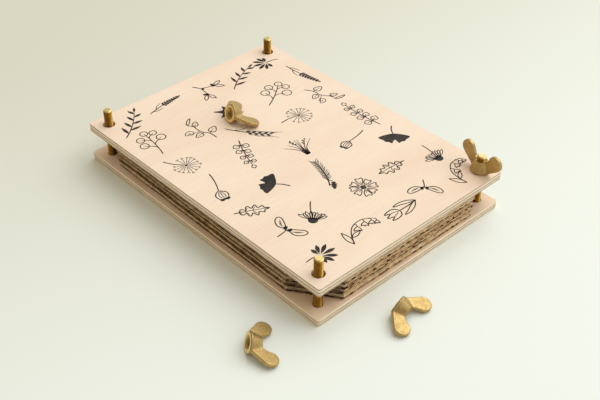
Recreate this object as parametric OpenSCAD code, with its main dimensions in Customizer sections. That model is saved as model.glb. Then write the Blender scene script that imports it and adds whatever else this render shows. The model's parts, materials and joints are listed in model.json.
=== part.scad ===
// A flower press: two plywood boards on four brass bolts, with corrugated cards and
// blotting papers stacked between them. One wing nut is on its bolt, and three lie loose.
// Millimetres. The origin is the centre of the bottom board's underside, X runs along the
// long side of the press and Z points up.

/* [Boards] */
// Length of both boards
board_length = 235; // [180:1:320]
// Width of both boards
board_width = 170; // [130:1:240]
// Thickness of each board
board_thickness = 6; // [4:0.5:12]
// Radius of the boards' corners
board_corner_radius = 2; // [1:0.5:8]
// Distance from a bolt's axis to the short edge of the board
bolt_from_end = 10.9; // [9:0.1:16]
// Distance from a bolt's axis to the long edge of the board
bolt_from_side = 9.9; // [9:0.1:16]
// Extra diameter of the close holes in the bottom board
bottom_hole_room = 0.6; // [0.3:0.1:1.2]
// Extra diameter of the roomy holes in the top board
top_hole_room = 2.5; // [1:0.1:3]

/* [Bolts] */
// Diameter of the bolts over the thread
bolt_diameter = 6; // [4:0.5:8]
// Length of a bolt above the top board
bolt_above_board = 12.25; // [12:0.25:30]
// Chamfer at the bolt's free end
bolt_end_chamfer = 0.7; // [0.2:0.1:1]
// Diameter of the bolt's countersunk head
head_diameter = 11.4; // [9:0.2:13]
// Height of the head's straight rim below its cone
head_rim = 0.4; // [0.2:0.1:0.6]
// How deep the head's flat face lies inside the bottom board
head_recess = 0.2; // [0.1:0.05:0.4]
// Gap round the head in its countersink
head_gap = 0.15; // [0.1:0.05:0.3]
// Width of the driver slot in the head
slot_width = 1.6; // [1:0.1:2]
// Depth of the driver slot in the head
slot_depth = 1.4; // [0.6:0.1:1.6]

/* [Cards and papers] */
// Thickness of a corrugated card
card_thickness = 2.95; // [2.4:0.05:5]
// Distance from one flute of a card to the next
flute_pitch = 6.2; // [5:0.1:9]
// Thickness of a card's flat liners
liner_thickness = 0.32; // [0.2:0.02:0.5]
// Thickness of a card's wavy middle layer
wave_thickness = 0.3; // [0.2:0.02:0.4]
// Thickness of a blotting paper
paper_thickness = 0.45; // [0.2:0.05:1]
// Air between one sheet and the next
air_gap = 0.01; // [0.01:0.01:0.05]
// How far the sheets stay inside the boards' short edges
sheet_from_end = 2; // [1.8:0.1:6]
// How far the sheets stay inside the boards' long edges
sheet_from_side = 4.1; // [3.5:0.1:8]
// Gap from a clipped corner's straight cut to the side of the bolt
corner_gap = 4.2; // [3.5:0.1:8]
// The same gap at the left corner, where the sheets come closer to the bolt
left_corner_gap = 2.3; // [2.2:0.1:8]
// Angle of a corner's cut, measured from the long side
corner_angle = 35.5; // [30:0.5:50]
// Turn of the whole stack on the bottom board
stack_turn = -0.5; // [-0.6:0.1:0.6]
// How far the stack leans sideways from its lowest sheet to its highest
stack_lean = 1.6; // [0:0.1:2]
// How far a single sheet wanders from its neighbours
sheet_wander = 0.5; // [0:0.05:0.6]
// How far a single sheet turns from its neighbours
sheet_turn = 0.12; // [0:0.02:0.15]

/* [Wing nuts] */
// Width across both wings
nut_span = 35.6; // [32:0.2:44]
// Height of the nut to the tops of its wings
nut_height = 17; // [16:0.2:22]
// Radius of the round end of a wing
lobe_radius = 5.3; // [4:0.1:6]
// Thickness of a wing
wing_thickness = 2.6; // [2:0.1:3.4]
// Diameter of the hub where it meets the board
hub_base_diameter = 13.8; // [12:0.1:16]
// Diameter of the hub's upper end
hub_top_diameter = 8.8; // [8.6:0.1:12]
// Height of the hub
hub_height = 8.1; // [7:0.1:10]
// Chamfer round the hub's two rims
hub_chamfer = 0.4; // [0.2:0.05:0.6]
// Height of a wing's lower edge where it leaves the hub's foot
wing_root_height = 0.3; // [0.1:0.1:0.8]
// Running gap between the thread of a nut and its bolt, on the radius
thread_gap = 0.05; // [0.02:0.01:0.1]
// Gap left under the fitted nut, which isn't screwed down hard
fitted_nut_gap = 0.5; // [0.05:0.05:2]
// Turn of the fitted nut on its bolt
fitted_turn = -8; // [-45:1:45]

/* [Loose nuts] */
// Gap under a nut that lies on the top board
resting_gap = 0.05; // [0.02:0.01:0.2]
// Place of the nut that lies on the top board, along X
board_nut_x = -51.6; // [-70:0.1:20]
// Place of the nut that lies on the top board, along Y
board_nut_y = -12.1; // [-40:0.1:30]
// Direction of the nut that lies on the top board
board_nut_turn = 78.1; // [0:0.1:360]
// Distance of the nut beside the long edge from that edge
corner_nut_out = 44.2; // [36:0.1:60]
// Distance of the nut beside the long edge from the near short edge, inwards
corner_nut_in = 15.9; // [0:0.1:60]
// Direction of the nut beside the long edge
corner_nut_turn = 57.9; // [0:0.1:90]
// Distance of the nut beside the short edge from that edge
end_nut_out = 20.8; // [18.5:0.1:60]
// Distance of the nut beside the short edge from the near long edge, inwards
end_nut_in = 43.7; // [20:0.1:120]
// Direction of the nut beside the short edge
end_nut_turn = 11.2; // [-20:0.1:90]

/* [Hidden] */
WOOD = "#f0dcc0";
BRASS = "#d9ab4c";
KRAFT = "#b08f66";
CREAM = "#e6d6ba";

// The stack from the bottom up: C is a card, P is a paper
STACK = "CPPPCPCPCPPPPPPPPPP";
CARD_LEVELS = [for (i = [0:len(STACK) - 1]) if (STACK[i] == "C") i];
PAPER_LEVELS = [for (i = [0:len(STACK) - 1]) if (STACK[i] == "P") i];

// Corners of the press, as signs of X and Y
CORNERS = [["near", 1, -1], ["left", -1, -1], ["rear", -1, 1], ["right", 1, 1]];

ROUND = 64;
bolt_radius = bolt_diameter / 2;
bolt_x = board_length / 2 - bolt_from_end;
bolt_y = board_width / 2 - bolt_from_side;
head_radius = head_diameter / 2;
head_cone_start = head_recess + head_rim;

// A sheet's thickness, and the height of its underside
function thickness(i) = STACK[i] == "C" ? card_thickness : paper_thickness;
function level(i) =
    i == 0 ? board_thickness + air_gap : level(i - 1) + thickness(i - 1) + air_gap;

last_sheet = len(STACK) - 1;
top_board_level = level(last_sheet) + thickness(last_sheet) + air_gap;
top_face = top_board_level + board_thickness;
bolt_end = top_face + bolt_above_board;

// Half sizes of a sheet
sheet_x = board_length / 2 - sheet_from_end;
sheet_y = board_width / 2 - sheet_from_side;

// The straight cut that clears a corner's bolt by the given gap: its distance from the
// centre, then its end on the long side and its end on the short side
cut_x = sin(corner_angle);
cut_y = cos(corner_angle);
function cut_distance(gap) = cut_x * bolt_x + cut_y * bolt_y - bolt_radius - gap;
function cut_end_x(gap) = (cut_distance(gap) - cut_y * sheet_y) / cut_x;
function cut_end_y(gap) = (cut_distance(gap) - cut_x * sheet_x) / cut_y;
function cut(corner) =
    let (gap = corner[0] == "left" ? left_corner_gap : corner_gap)
    [[corner[1] * cut_end_x(gap), corner[2] * sheet_y],
     [corner[1] * sheet_x, corner[2] * cut_end_y(gap)]];

// Each sheet lies a little askew, by steps that repeat too slowly to show
X_STEP = 77;
Y_STEP = 131;
TURN_STEP = 53;
function shift_x(i) = sheet_wander * sin(X_STEP * i);
function shift_y(i) = sheet_wander * cos(Y_STEP * i) + stack_lean * (i / last_sheet - 0.5);
function turn(i) = stack_turn + sheet_turn * sin(TURN_STEP * i);

// The wave of a card's middle layer
wave_height = (card_thickness - 2 * liner_thickness - wave_thickness) / 2;
flute_count = ceil((2 * sheet_y) / flute_pitch);
VOID_HALF_SHARE = 0.42;
VOID_STEPS = 8;

// A wing's lobe in the nut's own X and Z, and the slope at which a nut lies down
lobe_x = nut_span / 2 - lobe_radius;
lobe_z = nut_height - lobe_radius;
hub_base_radius = hub_base_diameter / 2;
hub_top_radius = hub_top_diameter / 2;
slope_on_wings = atan((hub_base_radius - wing_thickness / 2) / (nut_height - hub_chamfer));
slope_on_cone = atan((hub_base_radius - hub_top_radius) / (hub_height - 2 * hub_chamfer));
lying_slope = min(slope_on_wings, slope_on_cone);

// A point on the lobe where a straight line from the point p touches it, on one side
function touch_angle(p, side) =
    atan2(lobe_z - p[1], lobe_x - p[0])
    - side * asin(lobe_radius / norm([lobe_x - p[0], lobe_z - p[1]]));
function touch_reach(p) =
    sqrt(pow(norm([lobe_x - p[0], lobe_z - p[1]]), 2) - pow(lobe_radius, 2));
function touch_point(p, side) =
    p + touch_reach(p) * [cos(touch_angle(p, side)), sin(touch_angle(p, side))];

module board_outline() {
    x = board_length / 2 - board_corner_radius;
    y = board_width / 2 - board_corner_radius;
    square([2 * x, board_width], center = true);
    square([board_length, 2 * y], center = true);
    for (c = CORNERS)
        translate([c[1] * x, c[2] * y]) circle(r = board_corner_radius, $fn = ROUND);
}

// A board with a hole of the given radius round each bolt
module board(hole_radius) {
    linear_extrude(board_thickness)
        difference() {
            board_outline();
            for (c = CORNERS)
                translate([c[1] * bolt_x, c[2] * bolt_y]) circle(r = hole_radius, $fn = ROUND);
        }
}

// The hollow for a bolt's head in the underside of the bottom board
module countersink(hole_radius) {
    wide = head_radius + head_gap;
    translate([0, 0, -board_thickness])
        cylinder(h = board_thickness + head_cone_start, r = wide, $fn = ROUND);
    translate([0, 0, head_cone_start])
        cylinder(h = wide - hole_radius, r1 = wide, r2 = hole_radius, $fn = ROUND);
}

module bottom_board() {
    hole_radius = bolt_radius + bottom_hole_room / 2;
    color(WOOD)
        difference() {
            board(hole_radius);
            for (c = CORNERS)
                translate([c[1] * bolt_x, c[2] * bolt_y, 0]) countersink(hole_radius);
        }
}

module top_board() {
    color(WOOD) translate([0, 0, top_board_level]) board(bolt_radius + top_hole_room / 2);
}

// A bolt stands head down, with its countersunk head just inside the bottom board
module bolt(corner) {
    color(BRASS)
        translate([corner[1] * bolt_x, corner[2] * bolt_y, 0])
            difference() {
                rotate_extrude($fn = ROUND)
                    polygon([
                        [0, head_recess],
                        [head_radius, head_recess],
                        [head_radius, head_cone_start],
                        [bolt_radius, head_cone_start + head_radius - bolt_radius],
                        [bolt_radius, bolt_end - bolt_end_chamfer],
                        [bolt_radius - bolt_end_chamfer, bolt_end],
                        [0, bolt_end]]);
                translate([0, 0, head_recess])
                    cube([2 * head_diameter, slot_width, 2 * slot_depth], center = true);
            }
}

// A sheet's outline: a rectangle with its corners cut off clear of the bolts
module sheet_outline() {
    near = cut(CORNERS[0]);
    left = cut(CORNERS[1]);
    rear = cut(CORNERS[2]);
    right = cut(CORNERS[3]);
    polygon([near[0], near[1], right[1], right[0], rear[0], rear[1], left[1], left[0]]);
}

// Puts a sheet at its level, with its own small shift and turn
module laid(i) {
    translate([shift_x(i), shift_y(i), level(i)]) rotate([0, 0, turn(i)]) children();
}

module paper(n) {
    color(CREAM) laid(PAPER_LEVELS[n - 1]) linear_extrude(paper_thickness) sheet_outline();
}

// Height of the wave's middle at a distance from a trough
function wave_level(y) = card_thickness / 2 - wave_height * cos(360 * y / flute_pitch);

// The air above a trough of the wave, up to the upper liner
module air_above_trough() {
    half = VOID_HALF_SHARE * flute_pitch;
    ceiling = card_thickness - liner_thickness;
    polygon(concat(
        [for (k = [0:VOID_STEPS])
            let (y = half * (2 * k / VOID_STEPS - 1)) [y, wave_level(y) + wave_thickness / 2]],
        [[half, ceiling], [-half, ceiling]]));
}

// A card's section across its flutes, which run along X
module card_section() {
    difference() {
        translate([-sheet_y, 0]) square([2 * sheet_y, card_thickness]);
        for (k = [0:flute_count]) {
            translate([(k - flute_count / 2) * flute_pitch, 0]) air_above_trough();
            translate([(k - flute_count / 2 + 0.5) * flute_pitch, card_thickness])
                mirror([0, 1]) air_above_trough();
        }
    }
}

module card(n) {
    color(KRAFT)
        laid(CARD_LEVELS[n - 1])
            intersection() {
                linear_extrude(card_thickness) sheet_outline();
                translate([-sheet_x, 0, 0])
                    rotate([90, 0, 90]) linear_extrude(2 * sheet_x) card_section();
            }
}

// One wing's flat outline: straight from the hub's foot, round at its end, then back
// to the hub's upper rim
module wing_outline() {
    foot = [hub_base_radius - hub_chamfer, wing_root_height];
    brow = [hub_top_radius - hub_chamfer, hub_height - hub_chamfer];
    translate([lobe_x, lobe_z]) circle(r = lobe_radius, $fn = ROUND);
    polygon([[0, wing_root_height], foot, touch_point(foot, 1), [lobe_x, lobe_z],
        touch_point(brow, -1), brow, [0, brow[1]]]);
}

// A wing nut that stands on the origin, with its wings along X
module wing_nut() {
    difference() {
        union() {
            rotate_extrude($fn = ROUND)
                polygon([
                    [0, 0], [hub_base_radius - hub_chamfer, 0], [hub_base_radius, hub_chamfer],
                    [hub_top_radius, hub_height - hub_chamfer],
                    [hub_top_radius - hub_chamfer, hub_height], [0, hub_height]]);
            translate([0, wing_thickness / 2, 0])
                rotate([90, 0, 0])
                    linear_extrude(wing_thickness) {
                        wing_outline();
                        mirror([1, 0]) wing_outline();
                    }
        }
        translate([0, 0, -hub_height])
            cylinder(h = 3 * hub_height, r = bolt_radius + thread_gap, $fn = ROUND);
    }
}

// A nut that lies on its hub's rim and both wings, with the hub's rim at the given place
module lying_nut(x, y, height, direction) {
    color(BRASS)
        translate([x, y, height])
            rotate([0, lying_slope, direction])
                rotate(a = 120, v = [1, 1, 1])
                    translate([0, hub_base_radius, -hub_chamfer]) wing_nut();
}

module nut_fitted() {
    color(BRASS)
        translate([bolt_x, bolt_y, top_face + fitted_nut_gap])
            rotate([0, 0, fitted_turn]) wing_nut();
}

module nut_on_board() {
    lying_nut(board_nut_x, board_nut_y, top_face + resting_gap, board_nut_turn);
}

module nut_by_corner() {
    lying_nut(board_length / 2 - corner_nut_in, -board_width / 2 - corner_nut_out,
        0, corner_nut_turn);
}

module nut_by_end() {
    lying_nut(board_length / 2 + end_nut_out, -board_width / 2 + end_nut_in,
        0, end_nut_turn);
}

bottom_board();
top_board();
for (c = CORNERS)
    bolt(c);
for (n = [1:len(CARD_LEVELS)])
    card(n);
for (n = [1:len(PAPER_LEVELS)])
    paper(n);
nut_fitted();
nut_on_board();
nut_by_corner();
nut_by_end();
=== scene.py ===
import json
import math

import bpy
import numpy as np
from mathutils import Matrix, Vector
from mathutils.geometry import tessellate_polygon


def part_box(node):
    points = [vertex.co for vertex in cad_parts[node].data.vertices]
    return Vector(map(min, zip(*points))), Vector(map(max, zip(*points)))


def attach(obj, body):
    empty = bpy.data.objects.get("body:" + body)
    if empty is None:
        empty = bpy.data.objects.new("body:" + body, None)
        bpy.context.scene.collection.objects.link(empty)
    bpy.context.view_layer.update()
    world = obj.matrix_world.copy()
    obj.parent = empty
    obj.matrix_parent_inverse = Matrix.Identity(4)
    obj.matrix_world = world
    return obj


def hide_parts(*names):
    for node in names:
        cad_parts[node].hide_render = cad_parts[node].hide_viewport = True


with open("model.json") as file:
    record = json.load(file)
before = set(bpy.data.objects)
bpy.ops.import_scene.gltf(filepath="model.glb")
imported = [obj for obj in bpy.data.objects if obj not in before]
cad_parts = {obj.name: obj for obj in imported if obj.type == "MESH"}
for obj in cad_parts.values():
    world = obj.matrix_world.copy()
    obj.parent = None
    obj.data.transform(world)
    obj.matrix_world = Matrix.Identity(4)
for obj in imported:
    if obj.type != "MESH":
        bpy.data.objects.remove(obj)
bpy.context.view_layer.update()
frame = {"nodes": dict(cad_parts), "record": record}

bl_info = {
    "name": "Flower Press",
    "version": (1, 0, 0),
    "blender": (4, 5, 0),
    "location": "3D View > Sidebar > Flower Press",
    "description": "Dresses the flower press: plywood, brass, cards, papers and the printed board",
    "category": "Add Mesh",
}

MM = 0.001
CORNERS = ("near", "left", "rear", "right")
CARDS = sorted((n for n in frame["nodes"] if n.startswith("card_")), key=lambda n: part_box(n)[0].z)
PAPERS = sorted((n for n in frame["nodes"] if n.startswith("paper_")), key=lambda n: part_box(n)[0].z)
BODY_OF = {node: body for body, nodes in frame["record"]["behaviour"]["bodies"].items()
           for node in nodes}


def linear(code):
    """Linear colour with alpha from an sRGB hex code such as #d8a94c."""
    parts = [int(code[i:i + 2], 16) / 255 for i in (1, 3, 5)]
    return (*(p / 12.92 if p <= 0.04045 else ((p + 0.055) / 1.055) ** 2.4 for p in parts), 1.0)


def length_setting(name, description, millimetres):
    """A length that the user can change, with its default in millimetres."""
    return bpy.props.FloatProperty(
        name=name, description=description, default=millimetres * MM,
        soft_min=0.0, precision=5, unit="LENGTH")


def colour_setting(name, description, code):
    """A colour that the user can change, with its default as an sRGB hex code."""
    return bpy.props.FloatVectorProperty(
        name=name, description=description, default=linear(code),
        size=4, min=0.0, max=1.0, subtype="COLOR")


class BoardSettings(bpy.types.PropertyGroup):
    """Sizes and colours of the two plywood boards."""
    corner_radius: length_setting("Corner radius", "Radius of the boards' corners", 2.0)
    edge_round: length_setting("Edge rounding", "Radius to which the edges are sanded", 0.3)
    foot_round: length_setting("Foot rounding", "Radius of the lowest edge, on the table", 1.1)
    glue_groove: length_setting("Glue groove", "Depth of the dip at each glue line", 0.06)
    glue_width: length_setting("Glue width", "Width of a glue line", 0.45)
    top_hole_room: length_setting("Top hole room", "Room round a bolt in the top board", 1.25)
    bottom_hole_room: length_setting(
        "Bottom hole room", "Room round a bolt in the bottom board", 0.3)
    veneer: colour_setting("Veneer", "Colour of the face veneer", "#f9e4cd")
    veneer_warm: colour_setting("Warm veneer", "Colour of the veneer's warmer streaks", "#f3d6ba")
    # The bottom board's veneer is a warmer copy of the top board's: painted warm bounce light for its
    # face in shade under the top board
    lower_veneer: colour_setting("Lower veneer", "Colour of the bottom board's veneer", "#f8dfc2")
    lower_warm: colour_setting(
        "Lower warm veneer", "Colour of the warmer streaks on the bottom board", "#edcba8")
    edge: colour_setting("Ply edge", "Colour of the outer plies at the edge", "#fbe8cd")
    core: colour_setting("Core ply", "Colour of the cross plies at the edge", "#efd6b8")
    glue: colour_setting("Glue line", "Colour of the glue lines", "#583d25")


class HardwareSettings(bpy.types.PropertyGroup):
    """Sizes and colours of the brass bolts and wing nuts."""
    bolt_diameter: length_setting("Bolt diameter", "Diameter of the bolts over the thread", 6.0)
    thread_pitch: length_setting("Thread pitch", "Rise of the thread in one turn", 1.0)
    thread_depth: length_setting("Thread depth", "Depth of the thread", 0.61)
    bolt_chamfer: length_setting("Bolt chamfer", "Chamfer at the free end of a bolt", 0.7)
    head_diameter: length_setting("Head diameter", "Diameter of a bolt's head", 11.3)
    head_rim: length_setting("Head rim", "Height of the head's straight rim", 0.4)
    slot_width: length_setting("Slot width", "Width of the driver slot", 1.6)
    slot_depth: length_setting("Slot depth", "Depth of the driver slot", 1.4)
    nut_span: length_setting("Nut span", "Width across both wings", 35.6)
    nut_height: length_setting("Nut height", "Height to the tops of the wings", 17.0)
    lobe_radius: length_setting("Lobe radius", "Radius of a wing's round end", 5.3)
    wing_thickness: length_setting("Wing thickness", "Thickness of a wing", 2.6)
    hub_base_diameter: length_setting("Hub base", "Diameter of the hub's foot", 13.8)
    hub_top_diameter: length_setting("Hub top", "Diameter of the hub's upper end", 8.8)
    hub_height: length_setting("Hub height", "Height of the hub", 8.1)
    hub_chamfer: length_setting("Hub chamfer", "Chamfer of the hub's rims", 0.4)
    edge_round: length_setting("Cast edge", "Radius of the cast edges", 0.6)
    fillet: length_setting("Fillet", "Blend between the hub and the wings", 1.8)
    brass: colour_setting("Brass", "Colour of freshly turned brass", "#e8cf8e")
    brass_thread: colour_setting("Thread", "Colour of the thread's crests", "#c0933e")
    brass_cast: colour_setting("Cast brass", "Colour of the cast nuts", "#c0a46b")
    tarnish: colour_setting("Tarnish", "Colour of brass in the recesses", "#664714")


class StackSettings(bpy.types.PropertyGroup):
    """Sizes and colours of the corrugated cards and blotting papers."""
    flute_pitch: length_setting("Flute pitch", "Distance from one flute to the next", 6.2)
    liner: length_setting("Liner", "Thickness of a card's liners", 0.32)
    crushed_liner: length_setting("Crushed liner", "Thickness of a liner at a cut end", 0.75)
    crushed_flute: length_setting("Crushed flute", "Height of a flute's mouth at a cut end", 1.35)
    wave: length_setting("Wave", "Thickness of a card's wavy layer", 0.3)
    card_inset: length_setting("Card inset", "How far the cards stay behind the papers", 0.3)
    edge_wander: length_setting("Edge wander", "How far a sheet's edge strays", 0.35)
    kraft: colour_setting("Kraft", "Colour of the cards", "#d9b282")
    kraft_dark: colour_setting("Dark kraft", "Colour of the cards' darker fibres", "#6f4a28")
    # Darker than the real wavy layer: this colour also paints the shade in the open flutes
    medium: colour_setting("Medium", "Colour of the cards' wavy layer", "#452c15")
    paper: colour_setting("Paper", "Colour of the blotting papers", "#ecd6b0")
    paper_dark: colour_setting("Paper shade", "Colour of the papers' darker fibres", "#a98555")


class PrintSettings(bpy.types.PropertyGroup):
    """The print on the top board."""
    line: length_setting("Line", "Width of a drawn line", 0.8)
    lift: length_setting("Lift", "Height of the ink over the wood", 0.04)
    margin: length_setting("Margin", "Least distance of a motif from the board's edge", 4.0)
    hole_room: length_setting("Hole room", "Least distance of a motif from a bolt's axis", 10.0)
    spacing: length_setting("Spacing", "Distance sought between two motifs", 4.5)
    ink: colour_setting("Ink", "Colour of the ink", "#1a1716")


class StageSettings(bpy.types.PropertyGroup):
    """Colours of the floor."""
    floor: colour_setting("Floor", "Colour of the pale floor", "#f3faf4")
    floor_shade: colour_setting("Far floor", "Colour of the floor's duller side", "#d9d9c8")


class PressSettings(bpy.types.PropertyGroup):
    """All settings of the flower press."""
    boards: bpy.props.PointerProperty(type=BoardSettings)
    hardware: bpy.props.PointerProperty(type=HardwareSettings)
    stack: bpy.props.PointerProperty(type=StackSettings)
    print: bpy.props.PointerProperty(type=PrintSettings)
    stage: bpy.props.PointerProperty(type=StageSettings)


def per_mm(size):
    """Scale of a texture whose features are about that many millimetres wide."""
    return 1 / (size * MM)


def wire(tree, node, inputs):
    """Gives a node's sockets their values, or links from other sockets or nodes."""
    for key, value in inputs.items():
        if isinstance(value, bpy.types.Node):
            value = next(output for output in value.outputs if output.enabled)
        if isinstance(value, bpy.types.NodeSocket):
            tree.links.new(value, node.inputs[key])
        else:
            node.inputs[key].default_value = value


def add_node(tree, kind, inputs=None, **settings):
    """Adds a node with its settings, and its sockets' values and links."""
    node = tree.nodes.new(kind)
    for key, value in settings.items():
        setattr(node, key, value)
    wire(tree, node, inputs or {})
    return node


MIX_A, MIX_B = 6, 7
BLEND = {"data_type": "RGBA"}
MULTIPLY = {"data_type": "RGBA", "blend_type": "MULTIPLY"}


def mottle(tree, place, size, detail, span, values, roughness=0.5):
    """Noise with features of that many millimetres, plain and with the given span of its values
    stretched to run from one new value to the other."""
    noise = add_node(tree, "ShaderNodeTexNoise", {
        "Vector": place, "Scale": per_mm(size), "Detail": detail, "Roughness": roughness})
    stretched = add_node(tree, "ShaderNodeMapRange", {
        0: noise, 1: span[0], 2: span[1], 3: values[0], 4: values[1]})
    return noise, stretched


def new_material(name):
    """A material, its node tree, its shader, and the coordinates that its patterns follow."""
    material = bpy.data.materials.new(name)
    material.use_nodes = True
    tree = material.node_tree
    shader = next(n for n in tree.nodes if n.type == "BSDF_PRINCIPLED")
    return material, tree, shader, add_node(tree, "ShaderNodeTexCoord").outputs["Object"]


def birch_veneer_sanded(name, plain, warm, flecks):
    """Sanded birch veneer: pale and even, with faint long grain, warm streaks and short flecks."""
    material, tree, shader, place = new_material(name)
    # The grain runs along Y, so every pattern is drawn out that way
    broad, grain, dash = (
        add_node(tree, "ShaderNodeMapping", {"Vector": place, "Scale": (1, stretch, 1)})
        for stretch in (0.3, 0.05, 0.14))
    _, warmth = mottle(tree, broad, 32, 3, (0.42, 0.68), (0, 0.55))
    base = add_node(tree, "ShaderNodeMix", {0: warmth, MIX_A: plain, MIX_B: warm}, **BLEND)
    lines, shade = mottle(tree, grain, 1.1, 4, (0.3, 0.7), (0.955, 1.02))
    toned = add_node(tree, "ShaderNodeMix", {0: 1, MIX_A: base, MIX_B: shade}, **MULTIPLY)
    # Flecks are short dark dashes about 0.5 mm wide, far apart
    _, few = mottle(tree, dash, 1.6, 1, (0.68, 0.76), (0, 0.35))
    flecked = add_node(tree, "ShaderNodeMix", {0: few, MIX_A: toned, MIX_B: flecks}, **BLEND)
    bump = add_node(tree, "ShaderNodeBump", {
        "Height": lines, "Strength": 0.35, "Distance": 0.02 * MM})
    wire(tree, shader, {"Base Color": flecked, "Normal": bump, "Roughness": 0.6, "IOR": 1.45})
    return material


# Heights of the glue lines over a board's underside, in millimetres
GLUE_LINES = {"bottom_board": (1.7, 4.1), "top_board": (0.7, 3.05, 5.4)}


def birch_ply_edge_sawn(settings, node):
    """Sawn plywood edge: bands of long grain and end grain with thin dark glue lines between."""
    material, tree, shader, place = new_material(f"birch_ply_edge_sawn_{node}")
    height = add_node(tree, "ShaderNodeSeparateXYZ", {0: place}).outputs["Z"]
    # The plies' grain runs along Y and along X in turn, so that each shows end grain on one
    # side of the board and long grain on the other
    along_y, along_x = (
        add_node(tree, "ShaderNodeMapping", {"Vector": place, "Scale": scale})
        for scale in ((1, 0.06, 1), (0.06, 1, 1)))
    outer, cross = (
        add_node(tree, "ShaderNodeTexNoise", {"Vector": way, "Scale": per_mm(0.9), "Detail": 3})
        for way in (along_y, along_x))
    is_cross, glue = 0, 0
    for line in GLUE_LINES[node]:
        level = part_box(node)[0].z + line * MM
        above = add_node(tree, "ShaderNodeMath", {0: height, 1: level}, operation="GREATER_THAN")
        other = add_node(tree, "ShaderNodeMath", {0: above, 1: is_cross}, operation="SUBTRACT")
        is_cross = add_node(tree, "ShaderNodeMath", {0: other}, operation="ABSOLUTE")
        away = add_node(tree, "ShaderNodeMath", {0: height, 1: level}, operation="SUBTRACT")
        distance = add_node(tree, "ShaderNodeMath", {0: away}, operation="ABSOLUTE")
        dark = add_node(tree, "ShaderNodeMapRange", {
            0: distance, 1: settings.glue_width * 0.3, 2: settings.glue_width * 0.7, 3: 1, 4: 0})
        glue = add_node(tree, "ShaderNodeMath", {0: glue, 1: dark}, operation="MAXIMUM")
    colour = add_node(tree, "ShaderNodeMix", {
        0: is_cross, MIX_A: settings.edge, MIX_B: settings.core}, **BLEND)
    grain = add_node(tree, "ShaderNodeMix", {0: is_cross, 2: outer, 3: cross}, data_type="FLOAT")
    shade = add_node(tree, "ShaderNodeMapRange", {0: grain, 1: 0.3, 2: 0.7, 3: 0.86, 4: 1.05})
    toned = add_node(tree, "ShaderNodeMix", {0: 1, MIX_A: colour, MIX_B: shade}, **MULTIPLY)
    # The glue lines fade and come back over a few millimetres
    _, patchy = mottle(tree, place, 9, 2, (0.3, 0.6), (0.7, 1))
    strength = add_node(tree, "ShaderNodeMath", {0: glue, 1: patchy}, operation="MULTIPLY")
    glued = add_node(tree, "ShaderNodeMix", {
        0: strength, MIX_A: toned, MIX_B: settings.glue}, **BLEND)
    bump = add_node(tree, "ShaderNodeBump", {
        "Height": grain, "Strength": 0.5, "Distance": 0.05 * MM})
    wire(tree, shader, {"Base Color": glued, "Normal": bump, "Roughness": 0.75})
    return material


def brass_thread_rolled(settings):
    """Brass with a rolled thread: olive crests, brown roots and a bright turned end."""
    material, tree, shader, place = new_material("brass_thread_rolled")
    flat = add_node(tree, "ShaderNodeVectorMath", {0: place, 1: (1, 1, 0)}, operation="MULTIPLY")
    radius = add_node(tree, "ShaderNodeVectorMath", {0: flat}, operation="LENGTH")
    outer = settings.bolt_diameter / 2
    depth = add_node(tree, "ShaderNodeMapRange", {
        0: radius, 1: outer - settings.thread_depth, 2: outer - 0.1 * MM, 3: 1, 4: 0})
    thread = add_node(tree, "ShaderNodeMix", {
        0: depth, MIX_A: settings.brass_thread, MIX_B: settings.tarnish}, **BLEND)
    height = add_node(tree, "ShaderNodeSeparateXYZ", {0: place}).outputs["Z"]
    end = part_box("bolt_near")[1].z - settings.bolt_chamfer
    turned = add_node(tree, "ShaderNodeMapRange", {
        0: height, 1: end - 0.5 * MM, 2: end + 0.1 * MM, 3: 0, 4: 1})
    # Handling leaves the bolt patchy, duller in some turns of the thread than in others
    smudge, patchy = mottle(tree, place, 2.5, 3, (0.3, 0.7), (0.75, 1.1))
    worn = add_node(tree, "ShaderNodeMix", {0: 1, MIX_A: thread, MIX_B: patchy}, **MULTIPLY)
    colour = add_node(tree, "ShaderNodeMix", {
        0: turned, MIX_A: worn, MIX_B: settings.brass}, **BLEND)
    rough = add_node(tree, "ShaderNodeMapRange", {0: smudge, 1: 0.3, 2: 0.7, 3: 0.26, 4: 0.42})
    wire(tree, shader, {"Base Color": colour, "Roughness": rough, "Metallic": 1})
    return material


def brass_cast_tumbled(settings):
    """Cast brass, tumbled: a pale satin shine, mottled by the grain of the casting."""
    material, tree, shader, place = new_material("brass_cast_tumbled")
    cloud, stain = mottle(tree, place, 5, 3, (0.45, 0.75), (0, 0.13))
    stained = add_node(tree, "ShaderNodeMix", {
        0: stain, MIX_A: settings.brass_cast, MIX_B: settings.tarnish}, **BLEND)
    # The cast skin: dull and bright specks 0.8 mm across, coarser than the real grain,
    # which would be too fine to see from where the photograph was taken
    skin, speck = mottle(tree, place, 0.8, 3, (0.34, 0.66), (0.72, 1.16), 0.6)
    colour = add_node(tree, "ShaderNodeMix", {0: 1, MIX_A: stained, MIX_B: speck}, **MULTIPLY)
    rough = add_node(tree, "ShaderNodeMapRange", {0: cloud, 1: 0.3, 2: 0.7, 3: 0.38, 4: 0.55})
    bump = add_node(tree, "ShaderNodeBump", {
        "Height": skin, "Strength": 0.8, "Distance": 0.09 * MM})
    wire(tree, shader, {"Base Color": colour, "Roughness": rough, "Normal": bump, "Metallic": 1})
    return material


def brass_face_turned(settings):
    """The nut's seating face, turned flat: brighter and smoother than the cast skin round it."""
    material, tree, shader, place = new_material("brass_face_turned")
    _, worn = mottle(tree, place, 1.2, 3, (0.4, 0.7), (0, 0.25))
    colour = add_node(tree, "ShaderNodeMix", {
        0: worn, MIX_A: settings.brass, MIX_B: settings.tarnish}, **BLEND)
    wire(tree, shader, {"Base Color": colour, "Roughness": 0.4, "Metallic": 1})
    return material


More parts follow.
